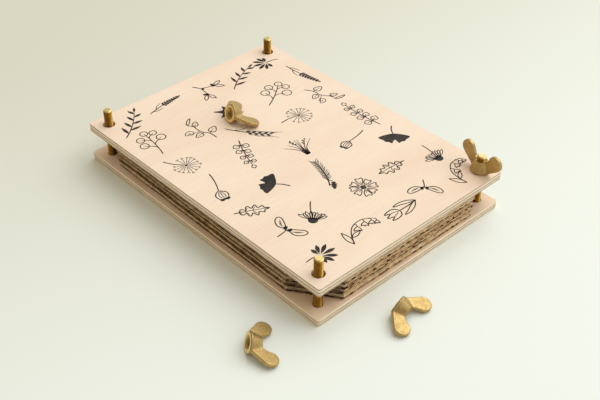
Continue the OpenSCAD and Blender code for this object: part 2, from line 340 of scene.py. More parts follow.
def painted_border_shade(tree, colour, shade):
    """A colour darkened by painted shade: darker on faces that look out over the long sides, and
    much darker on the torn clipped corners, which lie in shade under the top board."""
    normal = add_node(tree, "ShaderNodeTexCoord").outputs["Normal"]
    parts = add_node(tree, "ShaderNodeSeparateXYZ", {0: normal}).outputs
    ahead, aside = (
        add_node(tree, "ShaderNodeMath", {0: parts[axis]}, operation="ABSOLUTE") for axis in "XY")
    # Painted shade on the faces that look out over the long sides
    long_side_shade = add_node(tree, "ShaderNodeMapRange", {0: aside, 1: 0.35, 2: 0.7, 3: 1, 4: shade})
    askew = add_node(tree, "ShaderNodeMath", {0: ahead, 1: aside}, operation="MULTIPLY")
    # Painted shade, much darker, on the clipped corners, whose faces look out askew
    clipped = add_node(tree, "ShaderNodeMapRange", {0: askew, 1: 0.2, 2: 0.42, 3: 1, 4: 0.3})
    painted_shade_factor = add_node(tree, "ShaderNodeMath", {0: long_side_shade, 1: clipped}, operation="MULTIPLY")
    return add_node(tree, "ShaderNodeMix", {0: 1, MIX_A: colour, MIX_B: painted_shade_factor}, **MULTIPLY)


def kraft_board_corrugated(settings):
    """Corrugated kraft board: dull brown, mottled with long fibres and crushed at the cut."""
    material, tree, shader, place = new_material("kraft_board_corrugated")
    coarse, crushed = (
        add_node(tree, "ShaderNodeTexNoise", {
            "Vector": place, "Scale": per_mm(size), "Detail": 3, "Roughness": roughness})
        for size, roughness in ((6, 0.5), (1.3, 0.6)))
    both = add_node(tree, "ShaderNodeMix", {0: 0.6, 2: coarse, 3: crushed}, data_type="FLOAT")
    share = add_node(tree, "ShaderNodeMapRange", {0: both, 1: 0.42, 2: 0.62, 3: 0, 4: 1})
    colour = add_node(tree, "ShaderNodeMix", {
        0: share, MIX_A: settings.kraft, MIX_B: settings.kraft_dark}, **BLEND)
    bump = add_node(tree, "ShaderNodeBump", {
        "Height": crushed, "Strength": 0.6, "Distance": 0.08 * MM})
    # The long sides and the clipped corners are darkened with painted shade
    wire(tree, shader, {"Base Color": painted_border_shade(tree, colour, 0.8), "Normal": bump,
                        "Roughness": 0.9, "Specular IOR Level": 0.3})
    return material


def kraft_medium_flute_shade(settings):
    """The cards' fluted inner paper, coarse and dull: a darker paper than the liners, made darker
    still as painted shade, so that the open flutes read dark.
    """
    material, tree, shader, place = new_material("kraft_medium_flute_shade")
    _, shade = mottle(tree, place, 2.5, 4, (0.3, 0.7), (0.6, 1.25))
    colour = add_node(tree, "ShaderNodeMix", {
        0: 1, MIX_A: settings.medium, MIX_B: shade}, **MULTIPLY)
    wire(tree, shader, {"Base Color": colour, "Roughness": 0.95, "Specular IOR Level": 0.1})
    return material


def blotting_paper_felted(settings):
    """Soft felted blotting paper: cream, matt and faintly fibrous."""
    material, tree, shader, place = new_material("blotting_paper_felted")
    _, share = mottle(tree, place, 3, 5, (0.35, 0.7), (0, 0.7))
    colour = add_node(tree, "ShaderNodeMix", {
        0: share, MIX_A: settings.paper, MIX_B: settings.paper_dark}, **BLEND)
    fibre = add_node(tree, "ShaderNodeTexNoise", {
        "Vector": place, "Scale": per_mm(0.4), "Detail": 3})
    bump = add_node(tree, "ShaderNodeBump", {
        "Height": fibre, "Strength": 0.5, "Distance": 0.04 * MM})
    # The long sides and the clipped corners are darkened with painted shade
    wire(tree, shader, {"Base Color": painted_border_shade(tree, colour, 0.85), "Normal": bump,
                        "Roughness": 0.95, "Specular IOR Level": 0.2})
    return material


def screen_ink_printed(settings):
    """Screen-printed ink on wood: near black and matt, a little thinner here and there."""
    material, tree, shader, place = new_material("screen_ink_printed")
    _, thin = mottle(tree, place, 7, 2, (0.35, 0.75), (0, 0.07))
    colour = add_node(tree, "ShaderNodeMix", {
        0: thin, MIX_A: settings.ink, MIX_B: linear("#b9a18c")}, **BLEND)
    wire(tree, shader, {"Base Color": colour, "Roughness": 0.6, "Specular IOR Level": 0.3})
    return material


def new_piece(name, vertices, faces, materials, slots=None, smooth_degrees=32):
    """A mesh object in metres, smooth except at edges sharper than the given angle."""
    mesh = bpy.data.meshes.new(name)
    mesh.from_pydata([tuple(v) for v in vertices], [], [tuple(f) for f in faces])
    for material in materials:
        mesh.materials.append(material)
    if slots is not None:
        mesh.polygons.foreach_set("material_index", slots)
    mesh.polygons.foreach_set("use_smooth", [True] * len(mesh.polygons))
    mesh.set_sharp_from_angle(angle=math.radians(smooth_degrees))
    mesh.validate()
    piece = bpy.data.objects.new(name, mesh)
    bpy.context.scene.collection.objects.link(piece)
    return piece


def arc(centre, radius, start, end, steps):
    """Points on an arc, angles in degrees."""
    return [(centre[0] + radius * math.cos(math.radians(start + (end - start) * k / steps)),
             centre[1] + radius * math.sin(math.radians(start + (end - start) * k / steps)))
            for k in range(steps + 1)]


def rounded_rectangle(half_x, half_y, radius, steps=7):
    """Outline of a rectangle with round corners, anticlockwise."""
    x, y = half_x - radius, half_y - radius
    return (arc((x, y), radius, 0, 90, steps) + arc((-x, y), radius, 90, 180, steps)
            + arc((-x, -y), radius, 180, 270, steps) + arc((x, -y), radius, 270, 360, steps))


def bolt_axis(corner):
    """Plan position of a bolt's axis."""
    low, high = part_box(f"bolt_{corner}")
    return (low.x + high.x) / 2, (low.y + high.y) / 2


def edge_levels(node, settings):
    """Heights and insets of a board's edge: rounded arrises, and a dip at each glue line."""
    low, high = (v.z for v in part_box(node))
    lower = settings.foot_round if node == "bottom_board" else settings.edge_round
    turns = [math.radians(22.5 * k) for k in range(5)]
    levels = [(low + lower * (1 - math.sin(a)), lower * (1 - math.cos(a)))
              for a in reversed(turns)]
    for line in GLUE_LINES[node]:
        z, half = low + line * MM, settings.glue_width / 2
        levels += [(z - half, 0.0), (z, settings.glue_groove), (z + half, 0.0)]
    r = settings.edge_round
    return levels + [(high - r * (1 - math.sin(a)), r * (1 - math.cos(a))) for a in turns]


HOLE_STEPS = 48


def board(name, hole_levels, settings, materials):
    """A board with sanded edges and a hole of the given section round each bolt."""
    low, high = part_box(name)
    centre = (low + high) / 2
    half = (high - low) / 2
    vertices, faces, slots = [], [], []
    caps = {"under": [], "upper": []}

    def wall(rings, outward):
        start = len(vertices)
        n = len(rings[0])
        for ring in rings:
            vertices.extend(ring)
        for level in range(len(rings) - 1):
            for k in range(n):
                a = start + level * n + k
                b = start + level * n + (k + 1) % n
                quad = (a, b, b + n, a + n)
                faces.append(quad if outward else quad[::-1])
                slots.append(1)
        caps["under"].append(range(start, start + n))
        caps["upper"].append(range(start + (len(rings) - 1) * n, start + len(rings) * n))

    wall([[(centre.x + x, centre.y + y, z) for x, y in rounded_rectangle(
            half.x - inset, half.y - inset, settings.corner_radius - inset)]
          for z, inset in edge_levels(name, settings)], True)
    for corner in CORNERS:
        x0, y0 = bolt_axis(corner)
        wall([[(x0 + x, y0 + y, z) for x, y in arc((0, 0), radius, 0, 360, HOLE_STEPS)[:-1]]
              for z, radius in hole_levels], False)
    for side, upward in (("upper", 1), ("under", -1)):
        loops = caps[side]
        flat = [i for loop in loops for i in loop]
        for triangle in tessellate_polygon([[Vector(vertices[i]) for i in loop] for loop in loops]):
            a, b, c = (Vector(vertices[flat[i]]) for i in triangle)
            order = triangle if (b - a).cross(c - a).z * upward > 0 else triangle[::-1]
            faces.append(tuple(flat[i] for i in order))
            slots.append(0)
    piece = new_piece(name.replace("_board", "_plywood"), vertices, faces, materials, slots, 60)
    # Only the edge and the holes are shaded smooth: the two faces are flat
    walls = [p.material_index == 1 for p in piece.data.polygons]
    piece.data.polygons.foreach_set("use_smooth", walls)
    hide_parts(name)
    return piece


class FLOWERPRESS_OT_boards(bpy.types.Operator):
    """Make the two plywood boards"""
    bl_idname = "flower_press.boards"
    bl_label = "Boards"

    def execute(self, context):
        settings = context.scene.flower_press.boards
        hardware = context.scene.flower_press.hardware
        upper_face = birch_veneer_sanded(
            "birch_veneer_sanded", settings.veneer, settings.veneer_warm, settings.core)
        # A warmer copy of the veneer: painted warm bounce light in the shade under the top board
        lower_face = birch_veneer_sanded(
            "birch_veneer_sanded_lower", settings.lower_veneer, settings.lower_warm, settings.core)
        soft = 0.25 * MM       # sanding of the holes' rims
        head_room = 0.2 * MM
        bolt_radius = hardware.bolt_diameter / 2
        low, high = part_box("top_board")
        radius = bolt_radius + settings.top_hole_room
        piece = board("top_board", [(low.z, radius + soft), (low.z + soft, radius),
                                    (high.z - soft, radius), (high.z, radius + soft)],
                      settings, [upper_face, birch_ply_edge_sawn(settings, "top_board")])
        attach(piece, "pressing_board")
        low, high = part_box("bottom_board")
        radius = bolt_radius + settings.bottom_hole_room
        head_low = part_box("bolt_near")[0].z
        wide = hardware.head_diameter / 2 + head_room
        cone = low.z + head_low + hardware.head_rim
        piece = board("bottom_board", [(low.z, wide), (cone, wide),
                                       (cone + wide - radius, radius),
                                       (high.z - soft, radius), (high.z, radius + soft)],
                      settings, [lower_face, birch_ply_edge_sawn(settings, "bottom_board")])
        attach(piece, "base")
        return {"FINISHED"}


def thread_radius(z, angle, outer, depth, pitch, start=0.0):
    """Radius of a right-hand thread with flat crests and roots at a height and angle."""
    phase = (z - start) / pitch - angle / (2 * math.pi)
    away = np.abs(phase - np.round(phase))
    crest, root = 1 / 14, 1 / 2 - 1 / 8
    return outer - depth * np.clip((away - crest) / (root - crest), 0, 1)


def lathe_grid(radii, heights, steps, start=0):
    """Vertices and quads of a turned skin. radii has a row for each height and a value for each
    step round the axis."""
    angles = np.arange(steps) * 2 * math.pi / steps
    x = radii * np.cos(angles)
    y = radii * np.sin(angles)
    z = np.broadcast_to(np.asarray(heights)[:, None], x.shape)
    vertices = np.stack([x, y, z], -1).reshape(-1, 3).tolist()
    faces = [(start + j * steps + k, start + j * steps + (k + 1) % steps,
              start + (j + 1) * steps + (k + 1) % steps, start + (j + 1) * steps + k)
             for j in range(len(heights) - 1) for k in range(steps)]
    return vertices, faces


THREAD_STEPS = 40
RINGS_A_PITCH = 10


def bolt_mesh(settings, material):
    """A bolt round the Z axis: slotted countersunk head, rolled thread, chamfered end."""
    low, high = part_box("bolt_near")
    outer = settings.bolt_diameter / 2
    head = settings.head_diameter / 2
    neck = low.z + settings.head_rim + head - outer
    count = int((high.z - neck) / settings.thread_pitch * RINGS_A_PITCH)
    z = np.linspace(neck, high.z, count)[:, None]
    angles = np.arange(THREAD_STEPS) * 2 * math.pi / THREAD_STEPS
    thread = thread_radius(z, angles[None], outer, settings.thread_depth, settings.thread_pitch)
    thread = np.minimum(thread, outer - (z - (high.z - settings.bolt_chamfer)))
    thread[0] = outer
    # Under the cone, the head has a straight rim with a softened lower edge
    soft = 0.12 * MM
    head_z = [low.z, low.z + soft, low.z + settings.head_rim]
    head_r = [head - soft, head, head]
    rings = np.vstack([np.repeat(np.array(head_r)[:, None], THREAD_STEPS, 1), thread])
    heights = np.concatenate([head_z, z[:, 0]])
    vertices, faces = lathe_grid(rings, heights, THREAD_STEPS)
    last = (len(heights) - 1) * THREAD_STEPS
    faces.append(tuple(range(last, last + THREAD_STEPS)))
    faces.append(tuple(reversed(range(THREAD_STEPS))))
    piece = new_piece("bolt_pattern", vertices, faces, [material], None, 40)
    # The driver slot is cut with a box that reaches past the head on both sides
    corners = [(x * head * 1.2, y * settings.slot_width / 2, low.z + z * settings.slot_depth)
               for x in (-1, 1) for y in (-1, 1) for z in (-1, 1)]
    cutter = new_piece("slot_cutter", corners, [
        (0, 1, 3, 2), (4, 6, 7, 5), (0, 4, 5, 1), (2, 3, 7, 6), (0, 2, 6, 4), (1, 5, 7, 3)],
        [material])
    cut = piece.modifiers.new("slot", "BOOLEAN")
    cut.operation, cut.object, cut.solver = "DIFFERENCE", cutter, "EXACT"
    evaluated = piece.evaluated_get(bpy.context.evaluated_depsgraph_get())
    mesh = bpy.data.meshes.new_from_object(evaluated)
    mesh.name = "bolt_brass"
    bpy.data.objects.remove(piece)
    bpy.data.objects.remove(cutter)
    return mesh


class FLOWERPRESS_OT_bolts(bpy.types.Operator):
    """Make the four threaded brass bolts"""
    bl_idname = "flower_press.bolts"
    bl_label = "Bolts"

    def execute(self, context):
        settings = context.scene.flower_press.hardware
        mesh = bolt_mesh(settings, brass_thread_rolled(settings))
        for corner in CORNERS:
            piece = bpy.data.objects.new(f"threaded_bolt_{corner}", mesh)
            context.scene.collection.objects.link(piece)
            piece.location = (*bolt_axis(corner), 0.0)
            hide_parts(f"bolt_{corner}")
            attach(piece, "base")
        return {"FINISHED"}


def outline_distance(x, z, points):
    """Distance from a closed outline, negative inside it."""
    distance = np.full(x.shape, np.inf)
    inside = np.zeros(x.shape, bool)
    for (ax, az), (bx, bz) in zip(points, points[1:] + points[:1]):
        ex, ez = bx - ax, bz - az
        t = np.clip(((x - ax) * ex + (z - az) * ez) / (ex * ex + ez * ez + 1e-12), 0, 1)
        distance = np.minimum(distance, np.hypot(x - ax - t * ex, z - az - t * ez))
        if abs(ez) > 1e-9:
            inside ^= ((az > z) != (bz > z)) & (x < ex * (z - az) / ez + ax)
    return np.where(inside, -distance, distance)


def smooth_union(a, b, blend):
    """The lesser of two distances, with a fillet where they meet."""
    share = np.clip(0.5 + 0.5 * (b - a) / blend, 0, 1)
    return b * (1 - share) + a * share - blend * share * (1 - share)


def tangent_point(point, centre, radius, side):
    """Where a straight line from a point touches a circle."""
    away = math.hypot(centre[0] - point[0], centre[1] - point[1])
    angle = (math.atan2(centre[1] - point[1], centre[0] - point[0])
             - side * math.asin(radius / away))
    reach = math.sqrt(away * away - radius * radius)
    return point[0] + reach * math.cos(angle), point[1] + reach * math.sin(angle)


def wing_outline(settings):
    """Outline of one wing in millimetres: straight from the hub's foot, round at the end, and
    drawn in a little on the way back to the hub's brow."""
    mm = 1 / MM
    radius, chamfer = settings.lobe_radius * mm, settings.hub_chamfer * mm
    lobe = (settings.nut_span * mm / 2 - radius, settings.nut_height * mm - radius)
    foot = (settings.hub_base_diameter * mm / 2 - chamfer, 0.3)
    brow = (settings.hub_top_diameter * mm / 2 - chamfer,
            (settings.hub_height - settings.hub_chamfer) * mm)
    outer = tangent_point(foot, lobe, radius, 1)
    inner = tangent_point(brow, lobe, radius, -1)
    start = math.degrees(math.atan2(outer[1] - lobe[1], outer[0] - lobe[0]))
    end = math.degrees(math.atan2(inner[1] - lobe[1], inner[0] - lobe[0]))
    points = [(-2.0, 0.3), foot] + arc(lobe, radius, start, end % 360, 28)
    draw_in = 0.55
    for k in range(1, 8):
        t = k / 8
        dip = draw_in * 4 * t * (1 - t)
        points.append((inner[0] + (brow[0] - inner[0]) * t + dip * 0.35,
                       inner[1] + (brow[1] - inner[1]) * t - dip))
    return points + [brow, (-2.0, brow[1])]


def nut_field(settings):
    """Function that gives the distance from a cast wing nut's skin, in millimetres."""
    mm = 1 / MM
    wing = wing_outline(settings)
    half_wing = settings.wing_thickness * mm / 2
    edge = settings.edge_round * mm
    rim = 0.45           # radius of the hub's rims
    base, top = settings.hub_base_diameter * mm / 2, settings.hub_top_diameter * mm / 2
    height = settings.hub_height * mm
    hub = [(-3.0, rim), (base - rim - 0.45, rim), (base - rim - 0.05, rim + 0.45),
           (top - rim, height - rim), (-3.0, height - rim)]
    bore = settings.bolt_diameter * mm / 2 + 0.2
    foot_cone, top_cone = 1.35, 0.45    # how far the bore opens at its two ends

    def field(x, y, z):
        flat = outline_distance(np.abs(x), z, wing) + edge
        thick = np.abs(y) - (half_wing - edge)
        blade = (np.minimum(np.maximum(flat, thick), 0)
                 + np.hypot(np.maximum(flat, 0), np.maximum(thick, 0)) - edge)
        radius = np.hypot(x, y)
        cone = outline_distance(radius, z, hub) - rim
        body = np.maximum(smooth_union(blade, cone, settings.fillet * mm), -z)
        mouth = (bore + np.clip(foot_cone * (1.0 - z), 0, foot_cone)
                 + np.clip(z - height + top_cone, 0, top_cone))
        return -smooth_union(-body, -(mouth - radius), 0.12)
    return field


def surface_net(values, low, step):
    """Vertices and quads of the skin where the values on a grid change sign."""
    shape = np.array(values.shape) - 1
    total = np.zeros((*shape, 3))
    count = np.zeros(shape)
    axes = np.eye(3, dtype=int)

    def corner(offset):
        return values[tuple(slice(o, o + n) for o, n in zip(offset, shape))]

    for axis in range(3):
        others = [a for a in range(3) if a != axis]
        for u in (0, 1):
            for v in (0, 1):
                offset = u * axes[others[0]] + v * axes[others[1]]
                a, b = corner(offset), corner(offset + axes[axis])
                crosses = (a < 0) != (b < 0)
                t = np.where(crosses, a / np.where(crosses, a - b, 1), 0)
                for d in range(3):
                    total[..., d] += crosses * (offset[d] + (t if d == axis else 0))
                count += crosses
    active = count > 0
    index = np.full(shape, -1)
    index[active] = np.arange(active.sum())
    cells = np.argwhere(active)
    vertices = low + step * (cells + total[active] / count[active][:, None])
    faces = []
    for axis in range(3):
        u, v = [a for a in range(3) if a != axis]
        inner = [slice(1, n) for n in shape]
        inner[axis] = slice(0, shape[axis])
        ahead = list(inner)
        ahead[axis] = slice(1, shape[axis] + 1)
        a, b = values[tuple(inner)], values[tuple(ahead)]
        crosses = (a < 0) != (b < 0)
        place = np.argwhere(crosses) + np.array([int(k != axis) for k in range(3)])
        rising = (a < 0)[crosses]
        quad = [index[tuple((place - i * axes[u] - j * axes[v]).T)]
                for i, j in ((0, 0), (1, 0), (1, 1), (0, 1))]
        quad = np.stack(quad, 1)
        flip = rising if axis == 1 else ~rising
        quad[flip] = quad[flip][:, ::-1]
        faces += quad.tolist()
    return vertices, faces


def settle_on(field, points, rounds=4, reach=0.02):
    """Moves points onto the skin where the field is nought."""
    for _ in range(rounds):
        x, y, z = points.T
        here = field(x, y, z)
        slope = np.stack([field(x + reach, y, z) - field(x - reach, y, z),
                          field(x, y + reach, z) - field(x, y - reach, z),
                          field(x, y, z + reach) - field(x, y, z - reach)], 1) / (2 * reach)
        size = np.maximum((slope ** 2).sum(1), 0.2)
        move = slope * (here / size)[:, None]
        points = points - np.clip(move, -0.15, 0.15)
    return points


NUT_GRID = 0.25


def nut_mesh(settings, materials):
    """A wing nut that stands on the origin: cast body, and a sleeve with the cut thread."""
    mm = 1 / MM
    field = nut_field(settings)
    half_x = settings.nut_span * mm / 2 + 2 * NUT_GRID
    half_y = settings.hub_base_diameter * mm / 2 + 2 * NUT_GRID
    axes = [np.arange(-half_x, half_x, NUT_GRID), np.arange(-half_y, half_y, NUT_GRID),
            np.arange(-2.5 * NUT_GRID, settings.nut_height * mm + 2 * NUT_GRID, NUT_GRID)]
    grid = np.meshgrid(*axes, indexing="ij")
    body, faces = surface_net(field(*grid), np.array([a[0] for a in axes]), NUT_GRID)
    vertices = (settle_on(field, body) * MM).tolist()
    start = len(vertices)
    # The thread stands in the bore as a ring: crests, roots, and a lead-in at both ends
    outer = settings.bolt_diameter / 2 + 0.03 * MM
    depth = settings.thread_depth * 0.85
    height = settings.hub_height
    ends = 0.35 * MM
    count = int((height - 2 * ends) / settings.thread_pitch * RINGS_A_PITCH)
    z = np.linspace(ends, height - ends, count)[:, None]
    angles = np.arange(THREAD_STEPS) * 2 * math.pi / THREAD_STEPS
    ridge = thread_radius(z, angles[None], 0.0, depth, settings.thread_pitch,
                          settings.thread_pitch / 2)
    inner = outer - depth - ridge
    lead = 0.25 * MM + np.minimum(z - ends, height - ends - z)
    inner = np.maximum(inner, outer + 0.25 * MM - lead)
    wall = np.full((1, THREAD_STEPS), outer + 0.35 * MM)
    sleeve, sleeve_faces = lathe_grid(
        np.vstack([inner, wall, wall, inner[:1]]),
        np.concatenate([z[:, 0], [height - ends, ends, ends]]), THREAD_STEPS, start)
    vertices += sleeve
    faces += [f[::-1] for f in sleeve_faces]
    # The seating face is what lies within a tenth of a millimetre of the foot
    face_height = 0.1 * MM
    slots = [int(all(vertices[i][2] < face_height for i in face)) for face in faces]
    piece = new_piece("wing_nut_pattern", vertices, faces, materials, slots, 50)
    mesh = piece.data
    mesh.name = "wing_nut_cast"
    bpy.data.objects.remove(piece)
    return mesh


def lying_turn(settings, direction):
    """Rotation of a nut that lies on its hub's rim and both wings."""
    base, top = settings.hub_base_diameter / 2, settings.hub_top_diameter / 2
    chamfer = settings.hub_chamfer
    slope = min(math.atan((base - settings.wing_thickness / 2) / (settings.nut_height - chamfer)),
                math.atan((base - top) / (settings.hub_height - 2 * chamfer)))
    on_side = Matrix(((0, 0, 1), (1, 0, 0), (0, 1, 0))).to_4x4()
    return (Matrix.Rotation(math.radians(direction), 4, "Z")
            @ Matrix.Rotation(slope, 4, "Y") @ on_side)


# Direction in degrees of each nut that lies loose, and the body that it rides on
LOOSE_NUTS = {
    "nut_on_board": (78.1, "board_nut"),
    "nut_by_corner": (57.9, "corner_nut"),
    "nut_by_end": (11.2, "end_nut"),
}
FITTED_TURN = -8


class FLOWERPRESS_OT_wing_nuts(bpy.types.Operator):
    """Make the four cast wing nuts, one on its bolt and three lying loose"""
    bl_idname = "flower_press.wing_nuts"
    bl_label = "Wing nuts"

    def execute(self, context):
        settings = context.scene.flower_press.hardware
        mesh = nut_mesh(settings, [brass_cast_tumbled(settings), brass_face_turned(settings)])
        points = np.array([v.co for v in mesh.vertices])

        def place(node, turn, body):
            turned_mesh = mesh.copy()
            turned_mesh.transform(turn)
            piece = bpy.data.objects.new(f"cast_{node}", turned_mesh)
            context.scene.collection.objects.link(piece)
            low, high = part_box(node)
            turned = points @ np.array(turn.to_3x3()).T
            shift = (np.array(low + high) - turned.min(0) - turned.max(0)) / 2
            shift[2] = low.z - turned[:, 2].min()
            piece.location = shift
            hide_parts(node)
            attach(piece, body)

        place("nut_fitted", Matrix.Rotation(math.radians(FITTED_TURN), 4, "Z"), "turning_nut")
        for node, (direction, body) in LOOSE_NUTS.items():
            place(node, lying_turn(settings, direction), body)
        return {"FINISHED"}


def wander(t, seed, wavelength, reach):
    """A smooth seeded line that strays to both sides of nought."""
    draw = np.random.default_rng(seed)
    total = np.zeros_like(t)
    for octave in range(4):
        turns = 2 * math.pi / (wavelength / 1.9 ** octave)
        total += np.sin(t * turns * draw.uniform(0.8, 1.2) + draw.uniform(0, 7)) / 1.5 ** octave
    return reach * total / 2.2


def sheet_plan(node):
    """Centre, turn, half sizes and the two end borders of a sheet with clipped corners, read
    from its solid. A border is a list of distances across the sheet and one of reaches."""
    points = np.array([v.co[:2] for v in frame["nodes"][node].data.vertices])
    ends = {(x, y): [points[np.argmax(points @ np.array(d))]
                     for d in ((x * 1.0, y * 0.45), (x * 0.2, y * 1.0))]
            for x in (-1, 1) for y in (-1, 1)}
    along = ends[1, 1][1] - ends[-1, 1][1]
    turn = math.atan2(along[1], along[0])
    spin = np.array(((math.cos(turn), math.sin(turn)), (-math.sin(turn), math.cos(turn))))
    local = points @ spin.T
    middle = (local.min(0) + local.max(0)) / 2
    half = (local.max(0) - local.min(0)) / 2
    borders = []
    for x in (-1, 1):
        knots = [spin @ p - middle for p in (*ends[x, -1][::-1], *ends[x, 1])]
        borders.append(([k[1] for k in knots], [abs(k[0]) for k in knots]))
    return middle @ spin, turn, half, borders


def sheet_points(plan, across, shares, inset, seed, reach):
    """Plan points of a sheet: a row for each place across it and a column for each share of the
    way along it. The border strays a little, and more at the clipped corners."""
    middle, turn, half, borders = plan
    y = across * (half[1] - inset)
    x = np.empty((len(y), len(shares)))
    for side, column, (places, reaches) in ((0, 0, borders[0]), (1, -1, borders[1])):
        edge = np.interp(across * half[1], places, reaches) - inset
        clipped = half[0] - inset - edge > 0.3 * MM
        stray = wander(y, seed + side, 34 * MM, reach)
        stray = stray + clipped * wander(y, seed + 7 + side, 4 * MM, 1.6 * reach)
        chosen = shares < 0 if side == 0 else shares >= 0
        x[:, chosen] = (edge + stray)[:, None] * shares[chosen][None, :]
    y = np.repeat(y[:, None], len(shares), 1)
    for side, row in ((0, 0), (1, -1)):
        y[row] += wander(x[row], seed + 3 + side, 42 * MM, reach)
    c, s = math.cos(turn), math.sin(turn)
    return middle[0] + c * x - s * y, middle[1] + s * x + c * y, x, y


def slab(x, y, under, over, start=0):
    """Vertices and quads of a sheet between two surfaces on one grid of plan points."""
    rows, columns = x.shape
    vertices = (np.stack([x, y, under], -1).reshape(-1, 3).tolist()
                + np.stack([x, y, over], -1).reshape(-1, 3).tolist())
    up = rows * columns

    def at(i, j, level=0):
        return start + level * up + i * columns + j

    faces = []
    for i in range(rows - 1):
        for j in range(columns - 1):
            faces.append((at(i, j, 1), at(i, j + 1, 1), at(i + 1, j + 1, 1), at(i + 1, j, 1)))
            faces.append((at(i, j), at(i + 1, j), at(i + 1, j + 1), at(i, j + 1)))
    for j in range(columns - 1):
        faces.append((at(0, j), at(0, j + 1), at(0, j + 1, 1), at(0, j, 1)))
        faces.append((at(rows - 1, j + 1), at(rows - 1, j), at(rows - 1, j, 1),
                      at(rows - 1, j + 1, 1)))
    for i in range(rows - 1):
        faces.append((at(i + 1, 0), at(i, 0), at(i, 0, 1), at(i + 1, 0, 1)))
        faces.append((at(i, columns - 1), at(i + 1, columns - 1), at(i + 1, columns - 1, 1),
                      at(i, columns - 1, 1)))
    return vertices, faces


# How far a sheet's skin stays inside its solid, above and below
SHEET_AIR = 0.02 * MM
PAPER_SHARES = (-1, -0.985, -0.95, -0.85, -0.7, -0.5, -0.25, 0,
                0.25, 0.5, 0.7, 0.85, 0.95, 0.985, 1)


def border_depth(x, y, half):
    """Distance of plan points from the nearest straight border of a sheet of those half sizes."""
    return np.minimum(half[0] - np.abs(x), half[1] - np.abs(y))


class FLOWERPRESS_OT_papers(bpy.types.Operator):
    """Make the blotting papers"""
    bl_idname = "flower_press.papers"
    bl_label = "Blotting papers"

    def execute(self, context):
        settings = context.scene.flower_press.stack
        material = blotting_paper_felted(settings)
        for order, node in enumerate(PAPERS):
            low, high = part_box(node)
            plan = sheet_plan(node)
            _, _, half, borders = plan
            knots = np.clip(np.array([b[0] for b in borders]).ravel() / half[1], -1, 1)
            across = np.unique(np.round(np.concatenate(
                [np.linspace(-1, 1, 41), np.linspace(0.72, 1, 15), np.linspace(-1, -0.72, 15),
                 knots]), 4))
            columns = np.unique(np.concatenate([PAPER_SHARES, np.linspace(-1, 1, 49)]))
            x, y, along, aside = sheet_points(plan, across, columns, 0.0, 100 + 11 * order,
                                              settings.edge_wander)
            # The papers wave a little, and only close to their borders
            depth = border_depth(along, aside, half)
            lift = (wander(x * 1.3 + y, 500 + order, 30 * MM, 0.07 * MM)
                    * np.exp(-np.maximum(depth, 0) / (4 * MM)))
            vertices, faces = slab(x, y, low.z + SHEET_AIR + lift, high.z - SHEET_AIR + lift)
            piece = new_piece(f"blotting_{node}", vertices, faces, [material])
            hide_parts(node)
            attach(piece, BODY_OF[node])
        return {"FINISHED"}


ROWS_A_FLUTE = 10
RIPPLE = 0.04 * MM
CARD_SHARES = np.array([-1, -0.995, -0.985, -0.96, -0.8, -0.4, 0,
                        0.4, 0.8, 0.96, 0.985, 0.995, 1])


